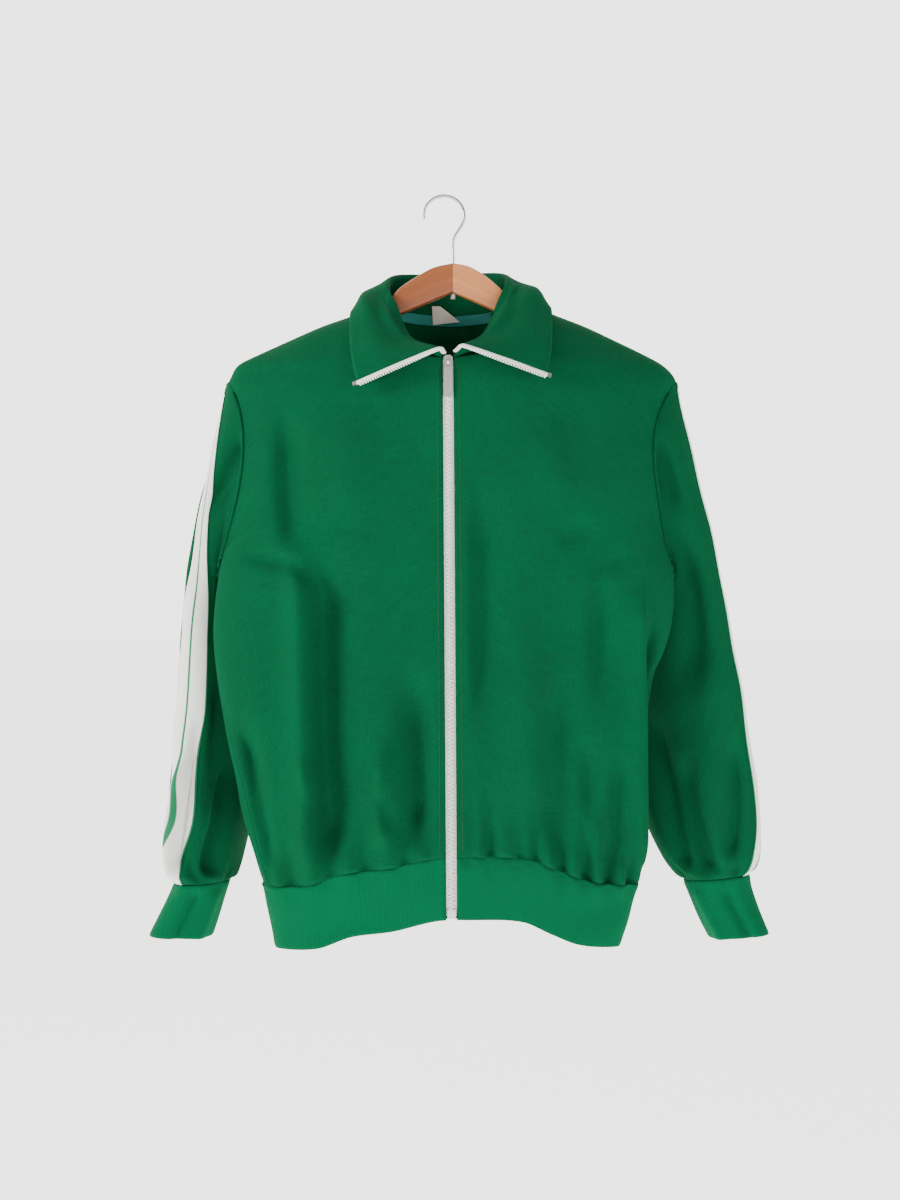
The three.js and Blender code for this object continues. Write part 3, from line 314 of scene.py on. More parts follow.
def back_half(side):
    """Coarse angles and heights of one half of the back, from the middle out."""
    top = back_top(side)
    col = np.arange(BACK_COLS + 1)
    tip = torso(side, 90, ARM["tip"])[0]
    u = col / BACK_COLS

    def sewn(angle, z):
        across = np.linalg.norm(torso(side, angle - 1, z) - torso(side, angle + 1, z), axis=-1)
        return angle + SEWN * 2 / across, z

    def top_row(share):
        end = armhole(-FIRST_TURN * share)
        shift = torso(side, *end)[0] - tip
        out = np.clip((col - NECK_COLS) / (BACK_COLS - NECK_COLS), 0, 1)
        angle, z = walk_down(side, top, 2 * STRIPE_HALF * share, shift * out * out)
        angle[-1], z[-1] = end
        return angle, z

    rows = [sewn(*top)] + [top_row(k / TOP_ROWS) for k in range(1, TOP_ROWS)]
    hung = top_row(1)
    lower = PANEL_ROWS - TOP_ROWS
    for v in np.linspace(0, 1, lower + 1):
        b = sewn(*outer_end(side, np.array(v), -1, FIRST_TURN))
        a = (180.0, lerp(hung[1][0], waist_seam(side, 180), v))
        own = math.sin(math.radians(90 * min(1, v / BLEND_SHARE)))
        angle = lerp(180, b[0], u)
        z = lerp(a[1], b[1], u) + arch_at(side, a[0], b[0], angle, u, np.array(v))
        start = choose(col == BACK_COLS, b, hung)
        rows.append((lerp(start[0], angle, own), lerp(start[1], z, own)))
    return np.array([np.stack(row, -1) for row in rows])


def refine(grid, count, axis):
    """Resamples a coarse grid smoothly along one axis."""
    grid = np.moveaxis(grid, axis, 0)
    last = len(grid) - 1
    place = np.linspace(0, last, count)
    i = np.clip(place.astype(int), 0, last - 1)
    t = (place - i).reshape((-1,) + (1,) * (grid.ndim - 1))
    p0, p1, p2, p3 = (grid[np.clip(i + k, 0, last)] for k in (-1, 0, 1, 2))
    return np.moveaxis(hermite(p1, p2, (p2 - p0) / 2, (p3 - p1) / 2, t), 0, axis)


# Creases: a line from (x0, z0) to (x1, z1) that bows, half widths on its two sides,
# the rise (negative for a trough), and the shares of its length over which it fades in and out
FRONT_CREASES = numbers("""
-156 -215 -149 -366 5 9 17 -5 0.35 0.25
-120 -346 -113 -700 3 14 27 -11 0.22 0.06
-143 -350 -132 -694 -3 16 8 5.5 0.18 0.1
-139 -560 -122 -622 2 8 11 2.6 0.45 0.45
-206 -366 -140 -378 0 8 8 -2.2 0.5 0.4
-154 -366 -118 -404 2 6 11 -2.6 0.4 0.5
-33 -470 -24 -668 -4 18 16 -8 0.35 0.1
-60 -540 -62 -664 2 9 12 4 0.35 0.2
-66 -590 -45 -652 2 7 9 -2.4 0.4 0.45
-22 -600 -19 -669 3 6 8 -2.2 0.4 0.2
-199 -520 -176 -694 3 10 12 -5 0.3 0.15
34 -290 36 -545 2 9 26 -5 0.3 0.35
14 -300 17 -600 0 8 9 2.5 0.3 0.3
155 -372 154 -530 2 9 17 -4.6 0.4 0.45
140 -540 150 -640 2 8 13 -3.4 0.4 0.45
104 -352 152 -332 2 9 10 -1.5 0.45 0.45
136 -388 190 -358 2 9 10 -1.8 0.45 0.45
196 -388 197 -690 1 12 5 4.5 0.15 0.06
206 -420 207 -680 0 5 8 -6 0.2 0.15
84 -420 88 -640 3 26 26 4 0.4 0.3
112 -470 106 -684 2 12 20 -5 0.35 0.12
176 -560 173 -688 2 8 11 -4 0.3 0.15
-92 -215 -96 -345 2 24 26 2.5 0.4 0.4
100 -225 120 -330 3 20 22 2 0.4 0.4
-202 -540 -184 -646 1 2.2 2.2 -1.1 0.2 0.1
-195 -606 -190 -636 0 2.2 2.6 -3.2 0.2 0.2
""")
BACK_CREASES = numbers("""
-150 -250 -138 -430 6 14 20 -5 0.3 0.3
-118 -380 -110 -694 4 14 24 -8 0.25 0.08
-60 -440 -66 -690 -4 20 16 -6 0.3 0.1
10 -330 4 -680 5 18 22 -4.5 0.35 0.15
58 -430 66 -690 4 15 20 -6.5 0.3 0.1
122 -360 116 -694 -3 22 14 -8 0.25 0.08
156 -250 148 -400 -5 18 12 -5 0.3 0.3
-178 -430 -168 -690 3 12 14 -6 0.3 0.1
176 -440 172 -690 -3 12 12 -6 0.3 0.1
-90 -190 -70 -300 4 26 26 2.5 0.4 0.4
96 -190 84 -300 -4 26 26 2.5 0.4 0.4
-60 -150 70 -151 5 8 10 -2 0.3 0.3
""")
# Gathers over the waist seam: place, half width, rise and height
FRONT_GATHERS = numbers("""
-181 6 -3.5 46
-167 6 2.6 34
-152 6 -2.8 40
-131 7 2.4 30
-112 6 -3 36
-94 7 2.6 44
-77 6 -2.6 30
-56 7 2.4 38
-38 6 -2.6 34
-20 6 2 28
24 5 -3.6 46
34 5 2.6 36
46 5 -3.4 52
60 6 2.4 32
75 6 -2.2 30
91 5 -3.4 46
104 5 2.8 34
117 5 -4 50
129 5 3.2 36
141 5 -4.2 46
153 5 3.4 40
164 5 -4.2 50
176 5 3.4 38
187 5 -4 44
""")


FOLD_DEPTH = 2.2
GATHER_DEPTH = 1.8


def creased(x, z, rows):
    """Sum of the creases' rises at places of a surface."""
    total = np.zeros(np.broadcast(x, z).shape)
    for x0, z0, x1, z1, bow, left, right, rise, top, foot in rows:
        rise *= FOLD_DEPTH
        length = math.hypot(x1 - x0, z1 - z0)
        dx, dz = (x1 - x0) / length, (z1 - z0) / length
        t = ((x - x0) * dx + (z - z0) * dz) / length
        across = (x - x0) * -dz + (z - z0) * dx + bow * 4 * t * (1 - t)
        wide = np.where(across < 0, left, right)
        total += rise * smooth(t / top) * smooth((1 - t) / foot) * np.exp(-((across / wide) ** 2))
    return total


def gathered(x, above, rows):
    """Sum of the gathers' rises, a distance above the waist seam."""
    total = np.zeros(np.broadcast(x, above).shape)
    for place, wide, rise, tall in rows:
        rise *= GATHER_DEPTH
        spread = wide * (1 + 0.5 * np.clip(above / tall, 0, 2))
        fade = np.exp(-((np.maximum(above, 0) / tall) ** 1.6))
        total += rise * fade * np.exp(-(((x - place) / spread) ** 2)) * smooth((above + 1) / 5)
    return total


def back_gathers():
    pick = np.random.default_rng(7)
    rows, x, sign = [], -178.0, -1
    while x < 190:
        rows.append((x, pick.uniform(5, 8), sign * pick.uniform(2, 4), pick.uniform(28, 52)))
        x += pick.uniform(11, 19)
        sign = -sign
    return tuple(rows)


BACK_GATHERS = back_gathers()


def unit(v):
    return v / np.maximum(np.linalg.norm(v, axis=-1, keepdims=True), 1e-9)


def normals_of(p, around=False, facing=1):
    """Unit directions across a grid of points."""
    along = np.gradient(p, axis=0)
    across = (np.roll(p, -1, 1) - np.roll(p, 1, 1)) / 2 if around else np.gradient(p, axis=1)
    return facing * unit(np.cross(along, across))


def arc(p, axis):
    step = np.linalg.norm(np.diff(p, axis=axis), axis=-1)
    start = np.zeros_like(np.take(step, [0], axis=axis))
    return np.concatenate([start, np.cumsum(step, axis=axis)], axis=axis)


def hills(x, y, seed, size, rise):
    """Soft random unevenness made of a few crossing waves."""
    pick = np.random.default_rng(seed)
    total = np.zeros(np.broadcast(x, y).shape)
    for _ in range(7):
        turn, wave = pick.uniform(0, math.pi), pick.uniform(0.7, 1.6) * size
        phase = pick.uniform(0, 2 * math.pi)
        total += np.sin((x * math.cos(turn) + y * math.sin(turn)) * 2 * math.pi / wave + phase)
    return total * rise / 3


def edge_dip(p, deep=0.9, wide=2.4, sides=(1, 1, 1, 1)):
    """How far a panel's sewn edges (top, foot, first, last) turn in."""
    down, across = arc(p, 0), arc(p, 1)
    near = [down, down[-1:] - down, across, across[:, -1:] - across]
    return -deep * sum(k * np.exp(-((d / wide) ** 2)) for k, d in zip(sides, near))


# Making pieces
pieces = {}


def placed(name, data):
    made = bpy.data.objects.new(name, data)
    bpy.context.scene.collection.objects.link(made)
    return made


TURNED = [0, 3, 2, 1]


def grid_faces(rows, cols, around=False, closed=False):
    """Corners of a grid's faces; around joins the last column to the first, closed the last row."""
    down, over = np.arange(rows if closed else rows - 1), np.arange(cols if around else cols - 1)
    i, j = np.meshgrid(down, over, indexing="ij")
    after, beside = (i + 1) % rows * cols, (j + 1) % cols
    return np.stack([i * cols + j, after + j, after + beside, i * cols + beside], -1).reshape(-1, 4)


def mesh_object(name, points, faces, uvs, material, smooth_shaded=True):
    mesh = bpy.data.meshes.new(name)
    mesh.vertices.add(len(points))
    mesh.vertices.foreach_set("co", (np.asarray(points, float) * MM).ravel())
    faces = np.asarray(faces, np.int32)
    mesh.loops.add(faces.size)
    mesh.loops.foreach_set("vertex_index", faces.ravel())
    mesh.polygons.add(len(faces))
    mesh.polygons.foreach_set("loop_start", np.arange(0, faces.size, faces.shape[1], dtype=np.int32))
    mesh.update(calc_edges=True)
    if uvs is not None:
        layer = mesh.uv_layers.new(name="cloth")
        layer.data.foreach_set("uv", np.asarray(uvs, float)[faces.ravel()].ravel())
    mesh.polygons.foreach_set("use_smooth", np.full(len(faces), smooth_shaded))
    mesh.validate()
    mesh.materials.append(material)
    pieces[name] = placed(name, mesh)
    return pieces[name]


def shell(name, p, thick, material, around=False, facing=1, uv=None, n=None):
    """A closed thin shell: the points as its outer face, an inner face and rims; UVs in metres of cloth."""
    if n is None:
        n = normals_of(p, around, facing)
    rows, cols = p.shape[:2]
    if uv is None:
        uv = np.stack([arc(p, 1) * MM, arc(p, 0) * MM], -1)
    points = np.concatenate([p.reshape(-1, 3), (p - n * thick).reshape(-1, 3)])
    uvs = np.concatenate([uv.reshape(-1, 2)] * 2)
    quad, inner = grid_faces(rows, cols, around), rows * cols

    def rim(a, b):
        return np.stack([a, b, b + inner, a + inner], -1)

    j, end = np.arange(cols if around else cols - 1), (rows - 1) * cols
    beside = (j + 1) % cols
    faces = [quad, quad[:, ::-1] + inner, rim(j, beside), rim(end + j, end + beside)[:, TURNED]]
    if not around:
        i = np.arange(rows - 1) * cols
        last = i + cols - 1
        faces += [rim(i, i + cols)[:, TURNED], rim(last, last + cols)]
    faces = np.concatenate(faces)
    a, b, c, d = (points[faces[:, k]] for k in range(4))
    if (a * (np.cross(b, c) + np.cross(c, d))).sum() < 0:
        faces = faces[:, ::-1]
    return mesh_object(name + "_cloth", points, faces, uvs, material)


def tube(name, rings, uvs, material, order=TURNED, closed=False):
    """A tube through rings of points, with flat faces on its open ends."""
    faces = grid_faces(*rings.shape[:2], True, closed)[:, order]
    made = mesh_object(name, rings.reshape(-1, 3), faces, uvs, material)
    bm = bmesh.new()
    bm.from_mesh(made.data)
    open_edges = [edge for edge in bm.edges if edge.is_boundary]
    for face in bmesh.ops.holes_fill(bm, edges=open_edges, sides=0)["faces"]:
        face.smooth = False
    bmesh.ops.recalc_face_normals(bm, faces=bm.faces)
    bm.to_mesh(made.data)
    bm.free()


# Materials
def linear(r, g, b):
    def one(v):
        v /= 255
        return v / 12.92 if v <= 0.04045 else ((v + 0.055) / 1.055) ** 2.4

    return (one(r), one(g), one(b), 1.0)


class Mat:
    """A material with the nodes that the looks share."""

    def __init__(self, name, **sockets):
        self.mat = bpy.data.materials.new(name)
        self.mat.use_nodes = True
        self.tree = self.mat.node_tree
        self.shader = self.tree.nodes["Principled BSDF"]
        for key, value in sockets.items():
            self.shader.inputs[key.replace("_", " ").title().replace("Ior", "IOR")].default_value = value

    def node(self, kind, props=None, **inputs):
        made = self.tree.nodes.new(kind)
        for key, value in (props or {}).items():
            setattr(made, key, value)
        for key, value in inputs.items():
            socket = made.inputs[int(key[1:])] if key[0] == "i" and key[1:].isdigit() else made.inputs[key]
            if hasattr(value, "links"):
                self.tree.links.new(value, socket)
            else:
                socket.default_value = value
        return made

    def place(self, scale, kind="UV"):
        """Cloth coordinates, scaled."""
        where = self.node("ShaderNodeTexCoord").outputs[kind]
        return self.node("ShaderNodeMapping", Vector=where, Scale=scale).outputs["Vector"]

    def noise(self, scale, detail=3.0, kind="UV", **more):
        where = self.place(scale, kind)
        return self.node("ShaderNodeTexNoise", Vector=where, Scale=1.0, Detail=detail, **more).outputs["Fac"]

    def wave(self, scale, direction="X"):
        props = {"bands_direction": direction, "wave_profile": "SIN"}
        return self.node("ShaderNodeTexWave", props, Vector=self.place(scale), Scale=1.0).outputs["Fac"]

    def math(self, op, a, b=0.0):
        return self.node("ShaderNodeMath", {"operation": op}, i0=a, i1=b).outputs[0]

    def toned(self, dark, base, low, high, *parts):
        """Colours by a weighted sum of sockets, dark up to one value and the base from another."""
        tone, *rest = [self.math("MULTIPLY", socket, weight) for socket, weight in parts]
        for part in rest:
            tone = self.math("ADD", tone, part)
        self.colour(self.mix(self.ramp(tone, low, high), dark, base))

    def mix(self, fac, a, b):
        return self.node("ShaderNodeMix", {"data_type": "RGBA"}, i0=fac, i6=a, i7=b).outputs[2]

    def ramp(self, fac, low, high):
        return self.node("ShaderNodeMapRange", i0=fac, i1=low, i2=high).outputs[0]

    def bumps(self, *layers):
        """Chains height, distance pairs into the normal."""
        last = None
        for height, distance in layers:
            inputs = {"Height": height, "Distance": distance, "Strength": 1.0}
            if last is not None:
                inputs["Normal"] = last
            last = self.node("ShaderNodeBump", None, **inputs).outputs[0]
        self.tree.links.new(last, self.shader.inputs["Normal"])

    def colour(self, socket):
        self.tree.links.new(socket, self.shader.inputs["Base Color"])

    def rough(self, socket):
        self.tree.links.new(socket, self.shader.inputs["Roughness"])


def jersey(name, base, dark):
    """Smooth double knit: fine courses and wales, faint streaks and a soft nap."""
    nap = {"sheen_weight": 0.04, "sheen_roughness": 0.5, "sheen_tint": linear(0, 200, 120)}
    m = Mat(name, roughness=0.85, specular_ior_level=0.08, **nap)
    streaks, wales, patches = m.noise((45, 900, 1), 2.0), m.noise((1100, 60, 1), 2.0), m.noise((9, 9, 1))
    m.toned(dark, base, 0.35, 0.75, (streaks, 0.45), (wales, 0.3), (patches, 0.35))
    m.rough(m.ramp(patches, -3.0, 0.9))
    rumple, courses, fuzz = m.noise((22, 16, 1)), m.wave((180, 0, 1)), m.noise((900, 1200, 1), 2.0)
    m.bumps((rumple, 0.0016), (courses, 0.00012), (fuzz, 0.00025))
    return m.mat


RIB_PITCH = 1.7
WAVE_BANDS = 3.1831  # bands that a wave texture draws in one unit of its space


def rib(name, base, dark):
    """Rib knit: rounded ridges along the cloth's length."""
    nap = {"sheen_weight": 0.06, "sheen_roughness": 0.5, "sheen_tint": linear(0, 210, 130)}
    m = Mat(name, roughness=0.88, specular_ior_level=0.08, **nap)
    ridge = m.wave((1 / (RIB_PITCH * MM) / WAVE_BANDS, 0, 1))
    fuzz, patches = m.noise((900, 500, 1), 2.0), m.noise((14, 10, 1))
    m.toned(dark, base, 0.15, 0.95, (ridge, 0.55), (fuzz, 0.25), (patches, 0.3))
    m.bumps((ridge, 0.00028), (m.noise((1200, 700, 1), 2.0), 0.0002), (m.noise((30, 20, 1), 2.0), 0.0012))
    return m.mat


def woven(name, base, dark):
    """Firm woven tape with a fine rib across it."""
    m = Mat(name, roughness=0.7, sheen_weight=0.15, specular_ior_level=0.3)
    weft, fuzz = m.wave((0, 260, 1), "Y"), m.noise((700, 900, 1), 2.0)
    m.toned(dark, base, 0.2, 0.8, (weft, 0.35), (fuzz, 0.65))
    m.bumps((weft, 0.00015), (fuzz, 0.0002))
    return m.mat


GREEN = linear(0, 81, 48)
GREEN_DARK = linear(0, 64, 36)
RIB_GREEN = linear(0, 97, 60)
RIB_DARK = linear(0, 74, 42)
WHITE = linear(248, 248, 245)
WHITE_DARK = linear(228, 228, 223)
TEAL = linear(18, 132, 122)


def striped(name):
    """The sleeve tape: two white bands with a thin green line between them and at the edges."""
    m = Mat(name, roughness=0.72, sheen_weight=0.15, specular_ior_level=0.3)
    off = m.math("ABSOLUTE", m.node("ShaderNodeSeparateXYZ", Vector=m.place((1, 1, 1))).outputs[0])
    line = m.math("SUBTRACT", 1.0, m.ramp(off, 0.055, 0.075))
    edge = m.ramp(off, 0.93, 0.95)
    green = m.math("MAXIMUM", line, edge)
    fuzz = m.noise((24, 900, 1), 2.0)
    white = m.mix(fuzz, WHITE_DARK, WHITE)
    m.colour(m.mix(green, white, linear(0, 120, 74)))
    m.bumps((m.wave((0, 300, 1), "Y"), 0.00015), (fuzz, 0.0002), (green, 0.0004))
    return m.mat


def steel(name):
    m = Mat(name, metallic=1.0)
    brushed = m.noise((300, 300, 300), kind="Object")
    m.colour(m.mix(brushed, linear(195, 196, 197), linear(205, 205, 207)))
    m.rough(m.ramp(brushed, -0.38, 2.6))
    return m.mat


def wood(name, base, dark):
    """Varnished wood with grain along the hanger's arm."""
    m = Mat(name, roughness=0.42, coat_weight=0.35, coat_roughness=0.25, specular_ior_level=0.4)
    warp = m.noise((14, 30, 30))
    grain = m.noise((10, 420, 200), 5.0, Roughness=0.6, Distortion=0.6)
    bands = m.noise((3, 70, 60), 2.0)
    m.toned(dark, base, 0.35, 0.95, (grain, 0.6), (bands, 0.55), (warp, 0.15))
    m.bumps((grain, 0.0002))
    return m.mat


green_jersey = jersey("green_jersey", GREEN, GREEN_DARK)
green_rib = rib("green_rib", RIB_GREEN, RIB_DARK)
white_tape = woven("white_tape", WHITE, WHITE_DARK)
striped_tape = striped("striped_tape")
teal_tape = woven("teal_tape", TEAL, linear(10, 104, 98))
label_cloth = woven("label_cloth", linear(224, 221, 210), linear(196, 192, 180))
plastic = woven("white_plastic", linear(248, 248, 244), linear(234, 233, 228))
chrome = steel("steel")
zip_metal = Mat("zip_metal", metallic=0.85, roughness=0.3, base_color=linear(205, 205, 203)).mat
# One wood in two copies: a darker copy with painted shade for the right arm, a lighter copy with painted
# light for the left arm
dark_wood = wood("dark_wood", linear(166, 94, 52), linear(108, 55, 27))
light_wood = wood("light_wood", linear(222, 148, 92), linear(168, 98, 52))
thread = woven("green_thread", linear(0, 72, 40), linear(0, 56, 30))


# Panels
WAIST_FADE, SEAM_FADE, TOP_FADE, ZIP_FLAT, ZIP_FADE = 52, 16, 18, 7, 20


def dressed(side, places, rows, gathers, facing, seed):
    """A panel's points, their normals and the rise of its folds, which fade out at its seams."""
    base = torso(side, places[..., 0], places[..., 1])
    n = normals_of(base, False, facing)
    x, z, across = base[..., 0], base[..., 2], arc(base, 1)
    above = places[..., 1] - waist_seam(side, places[..., 0])
    rise = creased(x, z, rows) * smooth(above / WAIST_FADE) + gathered(x, above, gathers)
    rise += hills(x, z, seed, 90, 0.7)
    rise *= smooth((across[:, -1:] - across) / SEAM_FADE) * smooth(arc(base, 0) / TOP_FADE)
    return base, n, rise, across


FRONT_ROWS, FRONT_COLS = 243, 120
fronts = {}
for side, word in SIDES:
    places = front_places(side, FRONT_ROWS, FRONT_COLS)
    base, n, rise, across = dressed(side, places, FRONT_CREASES, FRONT_GATHERS, side, 11 + side)
    rise *= smooth((across - ZIP_FLAT) / ZIP_FADE)
    fronts[side] = base + n * (rise + edge_dip(base, sides=(0.6, 1, 0.4, 0.15)))[..., None]
    shell("front_" + word, fronts[side], BODY_WALL, green_jersey, False, side)

BACK_FINE_ROWS, BACK_FINE_COLS = 221, 101
halves = []
for side, _ in SIDES:
    fine = refine(refine(back_half(side), BACK_FINE_ROWS, 0), BACK_FINE_COLS, 1)
    base, n, rise, _ = dressed(side, fine, BACK_CREASES, BACK_GATHERS, -side, 5)
    halves.append(base + n * rise[..., None])
p = np.concatenate([halves[0][:, ::-1], halves[1][:, 1:]], 1)
back_points = p + normals_of(p, False, -1) * edge_dip(p, sides=(0.4, 1, 0.15, 0.15))[..., None]
shell("back", back_points, BODY_WALL, green_jersey, False, -1)

# Shoulder tapes, from the back's own top rows
tape_rows = round((BACK_FINE_ROWS - 1) * TOP_ROWS / PANEL_ROWS) + 1
first_col = round((BACK_FINE_COLS - 1) * NECK_COLS / BACK_COLS)
back_n = normals_of(back_points, False, -1)
middle_col = BACK_FINE_COLS - 1
OVER_RIDGE = (0, -3.0, -1.1), (0, -1.5, -0.3)  # where the left tape's front edge wraps to
for side, word in SIDES:
    cols = slice(0, middle_col - first_col + 1) if side < 0 else slice(middle_col + first_col, None)
    n = back_n[:tape_rows, cols]
    p = back_points[:tape_rows, cols] + n * (TAPE_LIFT + TAPE_WALL)
    if side > 0:
        p = np.concatenate([p[:1] + np.array(shift) for shift in OVER_RIDGE] + [p])
        n = np.concatenate([n[:1], n[:1], n])
    across = np.linspace(-1, 1, p.shape[0])[:, None] + np.zeros(p.shape[:2])
    uv = np.stack([across, arc(p, 1) * MM], -1)
    shell("shoulder_tape_" + word, p, TAPE_WALL, striped_tape, False, -1, uv, n)

# Sleeves
SLEEVE = "at own zO zI oX oY fX fY iX iY bX bY"
SLEEVES = {
    -1: table(SLEEVE + """
0 0 -189 -392 -221 0 -205 -34 -220 0 -205 40
1 0.45 -215 -404 -227 5 -222 -28 -216 8 -206 48
2 0.8 -262 -420 -236 10 -230 -22 -206 28 -210 64
3 1 -330 -445 -250 15 -240 -20 -196 40 -215 76
4 1 -410 -482 -262 18 -246 -20 -192 44 -222 82
5 1 -500 -540 -271 18 -243 -20 -190 46 -230 82
6 1 -570 -592 -277 15 -246 -26 -194 42 -238 76
7 1 -630 -640 -281 10 -252 -34 -201 32 -246 66
8 1 -672 -676 -280 4 -258 -35 -210 22 -248 52
9 1 -697 -697 -274 0 -252 -29 -218 8 -246 34
"""),
    1: table(SLEEVE + """
0 0 -189 -392 237 0 215 -34 222 0 215 40
1 0.45 -215 -404 242 5 232 -28 222 8 216 48
2 0.8 -262 -420 252 9 240 -24 212 28 222 62
3 1 -330 -445 268 12 250 -21 202 40 230 72
4 1 -410 -482 284 12 258 -20 195 45 238 74
5 1 -500 -540 302 8 262 -18 194 45 246 68
6 1 -570 -592 314 4 264 -20 198 38 252 58
7 1 -630 -637 321 0 268 -24 207 28 258 48
8 1 -668 -675 319 -2 272 -24 226 16 268 38
9 1 -689 -697 311 -2 278 -20 245 6 276 26
"""),
}
SLEEVE_CLEAR = 2.7
SLEEVE_LEAVES = 0.7


def oval(rows, at, turn):
    def v(key):
        return column(rows, key, at)

    s, c = sind(turn), cosd(turn)
    c2 = cosd(2 * turn)

    def through(o, f, i, b):
        return (o + f + i + b) / 4 + (o - i) / 2 * c + (f - b) / 2 * s + (o + i - f - b) / 4 * c2

    z = (v("zO") + v("zI")) / 2 + (v("zO") - v("zI")) / 2 * c
    x = through(v("oX"), v("fX"), v("iX"), v("bX"))
    y = through(v("oY"), v("fY"), v("iY"), v("bY"))
    return np.stack([x, y, z + 0 * x], -1)


def clear_of_torso(side, p, gap):
    """Points moved out level, where needed, to lie a gap off the torso."""
    z = p[..., 2]
    mid, depth, square = section(z, p[..., 1] < column(TORSO, "mid", z))
    dx, dy = (p[..., 0] - AXIS_X) / (reach_of(side, z) + gap), (p[..., 1] - mid) / (depth + gap)
    out = (np.abs(dx) ** square + np.abs(dy) ** square) ** (1 / square)
    grow = np.maximum(1, 1 / np.maximum(out, 1e-6))
    return np.stack([AXIS_X + (p[..., 0] - AXIS_X) * grow, mid + (p[..., 1] - mid) * grow, z], -1)


def wrapped(turn):
    """Turns from -180 to 180."""
    return np.mod(turn + 180, 360) - 180


def arm_inset(turn):
    return 0.008 + 0.06 * smooth((np.mod(turn, 360) - 120) / 50)


def sleeve_points(side, at, turn):
    rows = SLEEVES[side]
    own = column(rows, "own", at)[..., None]
    hole = torso(side, *armhole(turn, arm_inset(turn) * smooth(at)))
    hung = lerp(hole, oval(rows, at, turn), own)
    return clear_of_torso(side, hung, SLEEVE_CLEAR * np.minimum(1, at * SLEEVE_LEAVES))


STRIPES = {
    -1: table("""
at middle half
0 -17 17
1 -9 17
2 33 17
3 74 20
4 76 25
5 65 29
6 60 30
7 62 31
8 50 33
9 30 36
"""),
    1: table("""
at middle half
0 -17 17
1 -4 19
2 10 19
3 17 22
4 15 25
5 9 27
6 5 28
7 2 29
8 5 33
9 6 38
"""),
}
# Sleeve creases in (turn in degrees, height in mm)
SLEEVE_CREASES = {
    -1: numbers("""
76 -230 70 -330 2 10 14 -4 0.3 0.4
88 -520 74 -690 5 9 16 -7 0.3 0.15
62 -560 60 -694 2 7 7 5 0.3 0.1
118 -470 112 -640 3 12 16 -6 0.3 0.3
140 -560 122 -692 6 8 12 -7 0.3 0.1
-40 -330 -52 -520 3 14 18 -4 0.3 0.3
-90 -420 -84 -640 -4 16 16 -6 0.3 0.2
-140 -520 -120 -690 4 12 14 -6 0.3 0.1
170 -480 175 -640 3 14 14 -5 0.3 0.2
"""),
    1: numbers("""
74 -225 84 -330 2 10 15 -4 0.3 0.4
96 -330 108 -520 6 16 20 -4.5 0.3 0.3
52 -540 66 -676 5 10 16 -5 0.35 0.15
110 -560 92 -690 -5 10 16 -6 0.3 0.1
140 -520 130 -690 4 10 14 -6 0.3 0.1
-70 -330 -60 -520 3 16 18 -5 0.3 0.3
-100 -480 -92 -680 -4 14 16 -6 0.3 0.15
-150 -520 -130 -690 4 12 14 -6 0.3 0.1
"""),
}
SLEEVE_ROWS, STRIPE_COLS, SLEEVE_COLS = 199, 24, 170


def sleeve_turns(side, at):
    middle, half = column(STRIPES[side], "middle", at), column(STRIPES[side], "half", at)
    tape = lerp(middle - half, middle + half, np.linspace(0, 1, STRIPE_COLS + 1)[None, :])
    rest = np.linspace(0, 1, SLEEVE_COLS - STRIPE_COLS + 1)[None, 1:-1]
    return np.concatenate([tape, lerp(middle + half, middle - half + 360, rest)], 1)


def pleats(turn, above, seed, count=15, tall=34.0, rise=3.4):
    """Small gathers all round, over a cuff's seam."""
    pick = np.random.default_rng(seed)
    total, at, sign = np.zeros(np.broadcast(turn, above).shape), 0.0, 1
    while at < 360:
        wide, high, own = pick.uniform(6, 11), tall * pick.uniform(0.6, 1.3), rise * pick.uniform(0.6, 1.2)
        off = wrapped(turn - at)
        fade = np.exp(-((np.maximum(above, 0) / high) ** 1.7))
        total += sign * own * fade * np.exp(-((off / wide) ** 2))
        at += 360 / count * pick.uniform(0.7, 1.3)
        sign = -sign
    return total


for side, word in SIDES:
    last = SLEEVES[side]["at"][-1]
    at = np.linspace(0, last, SLEEVE_ROWS)[:, None]
    turns = sleeve_turns(side, at)
    base = sleeve_points(side, at + 0 * turns, turns)
    n = normals_of(base, True, -side)
    rise = creased(wrapped(turns), base[..., 2], SLEEVE_CREASES[side])
    above = arc(base, 0)[-1:] - arc(base, 0)
    rise += pleats(turns, above, 3 + side) * smooth(above / 3)
    rise += hills(turns * 0.9, base[..., 2], 31 + side, 80, 0.8)
    rise *= smooth(at / 0.7) * (0.25 + 0.75 * smooth(above / 10))
    dip = -0.9 * np.exp(-((above / 2.4) ** 2))
    p = base + n * (rise + dip)[..., None]
    shell("sleeve_" + word, p, BODY_WALL, green_jersey, True, -side)
    n = normals_of(p, True, -side)
    cut = (slice(1, None), slice(0, STRIPE_COLS + 1))
    tape = p[cut] + n[cut] * (TAPE_LIFT + TAPE_WALL)
    across = np.linspace(-1, 1, STRIPE_COLS + 1)[None, :] + np.zeros(tape.shape[:2])
    uv = np.stack([across, arc(tape, 0) * MM], -1)
    shell("sleeve_tape_" + word, tape, TAPE_WALL, striped_tape, False, -side, uv, n[cut])

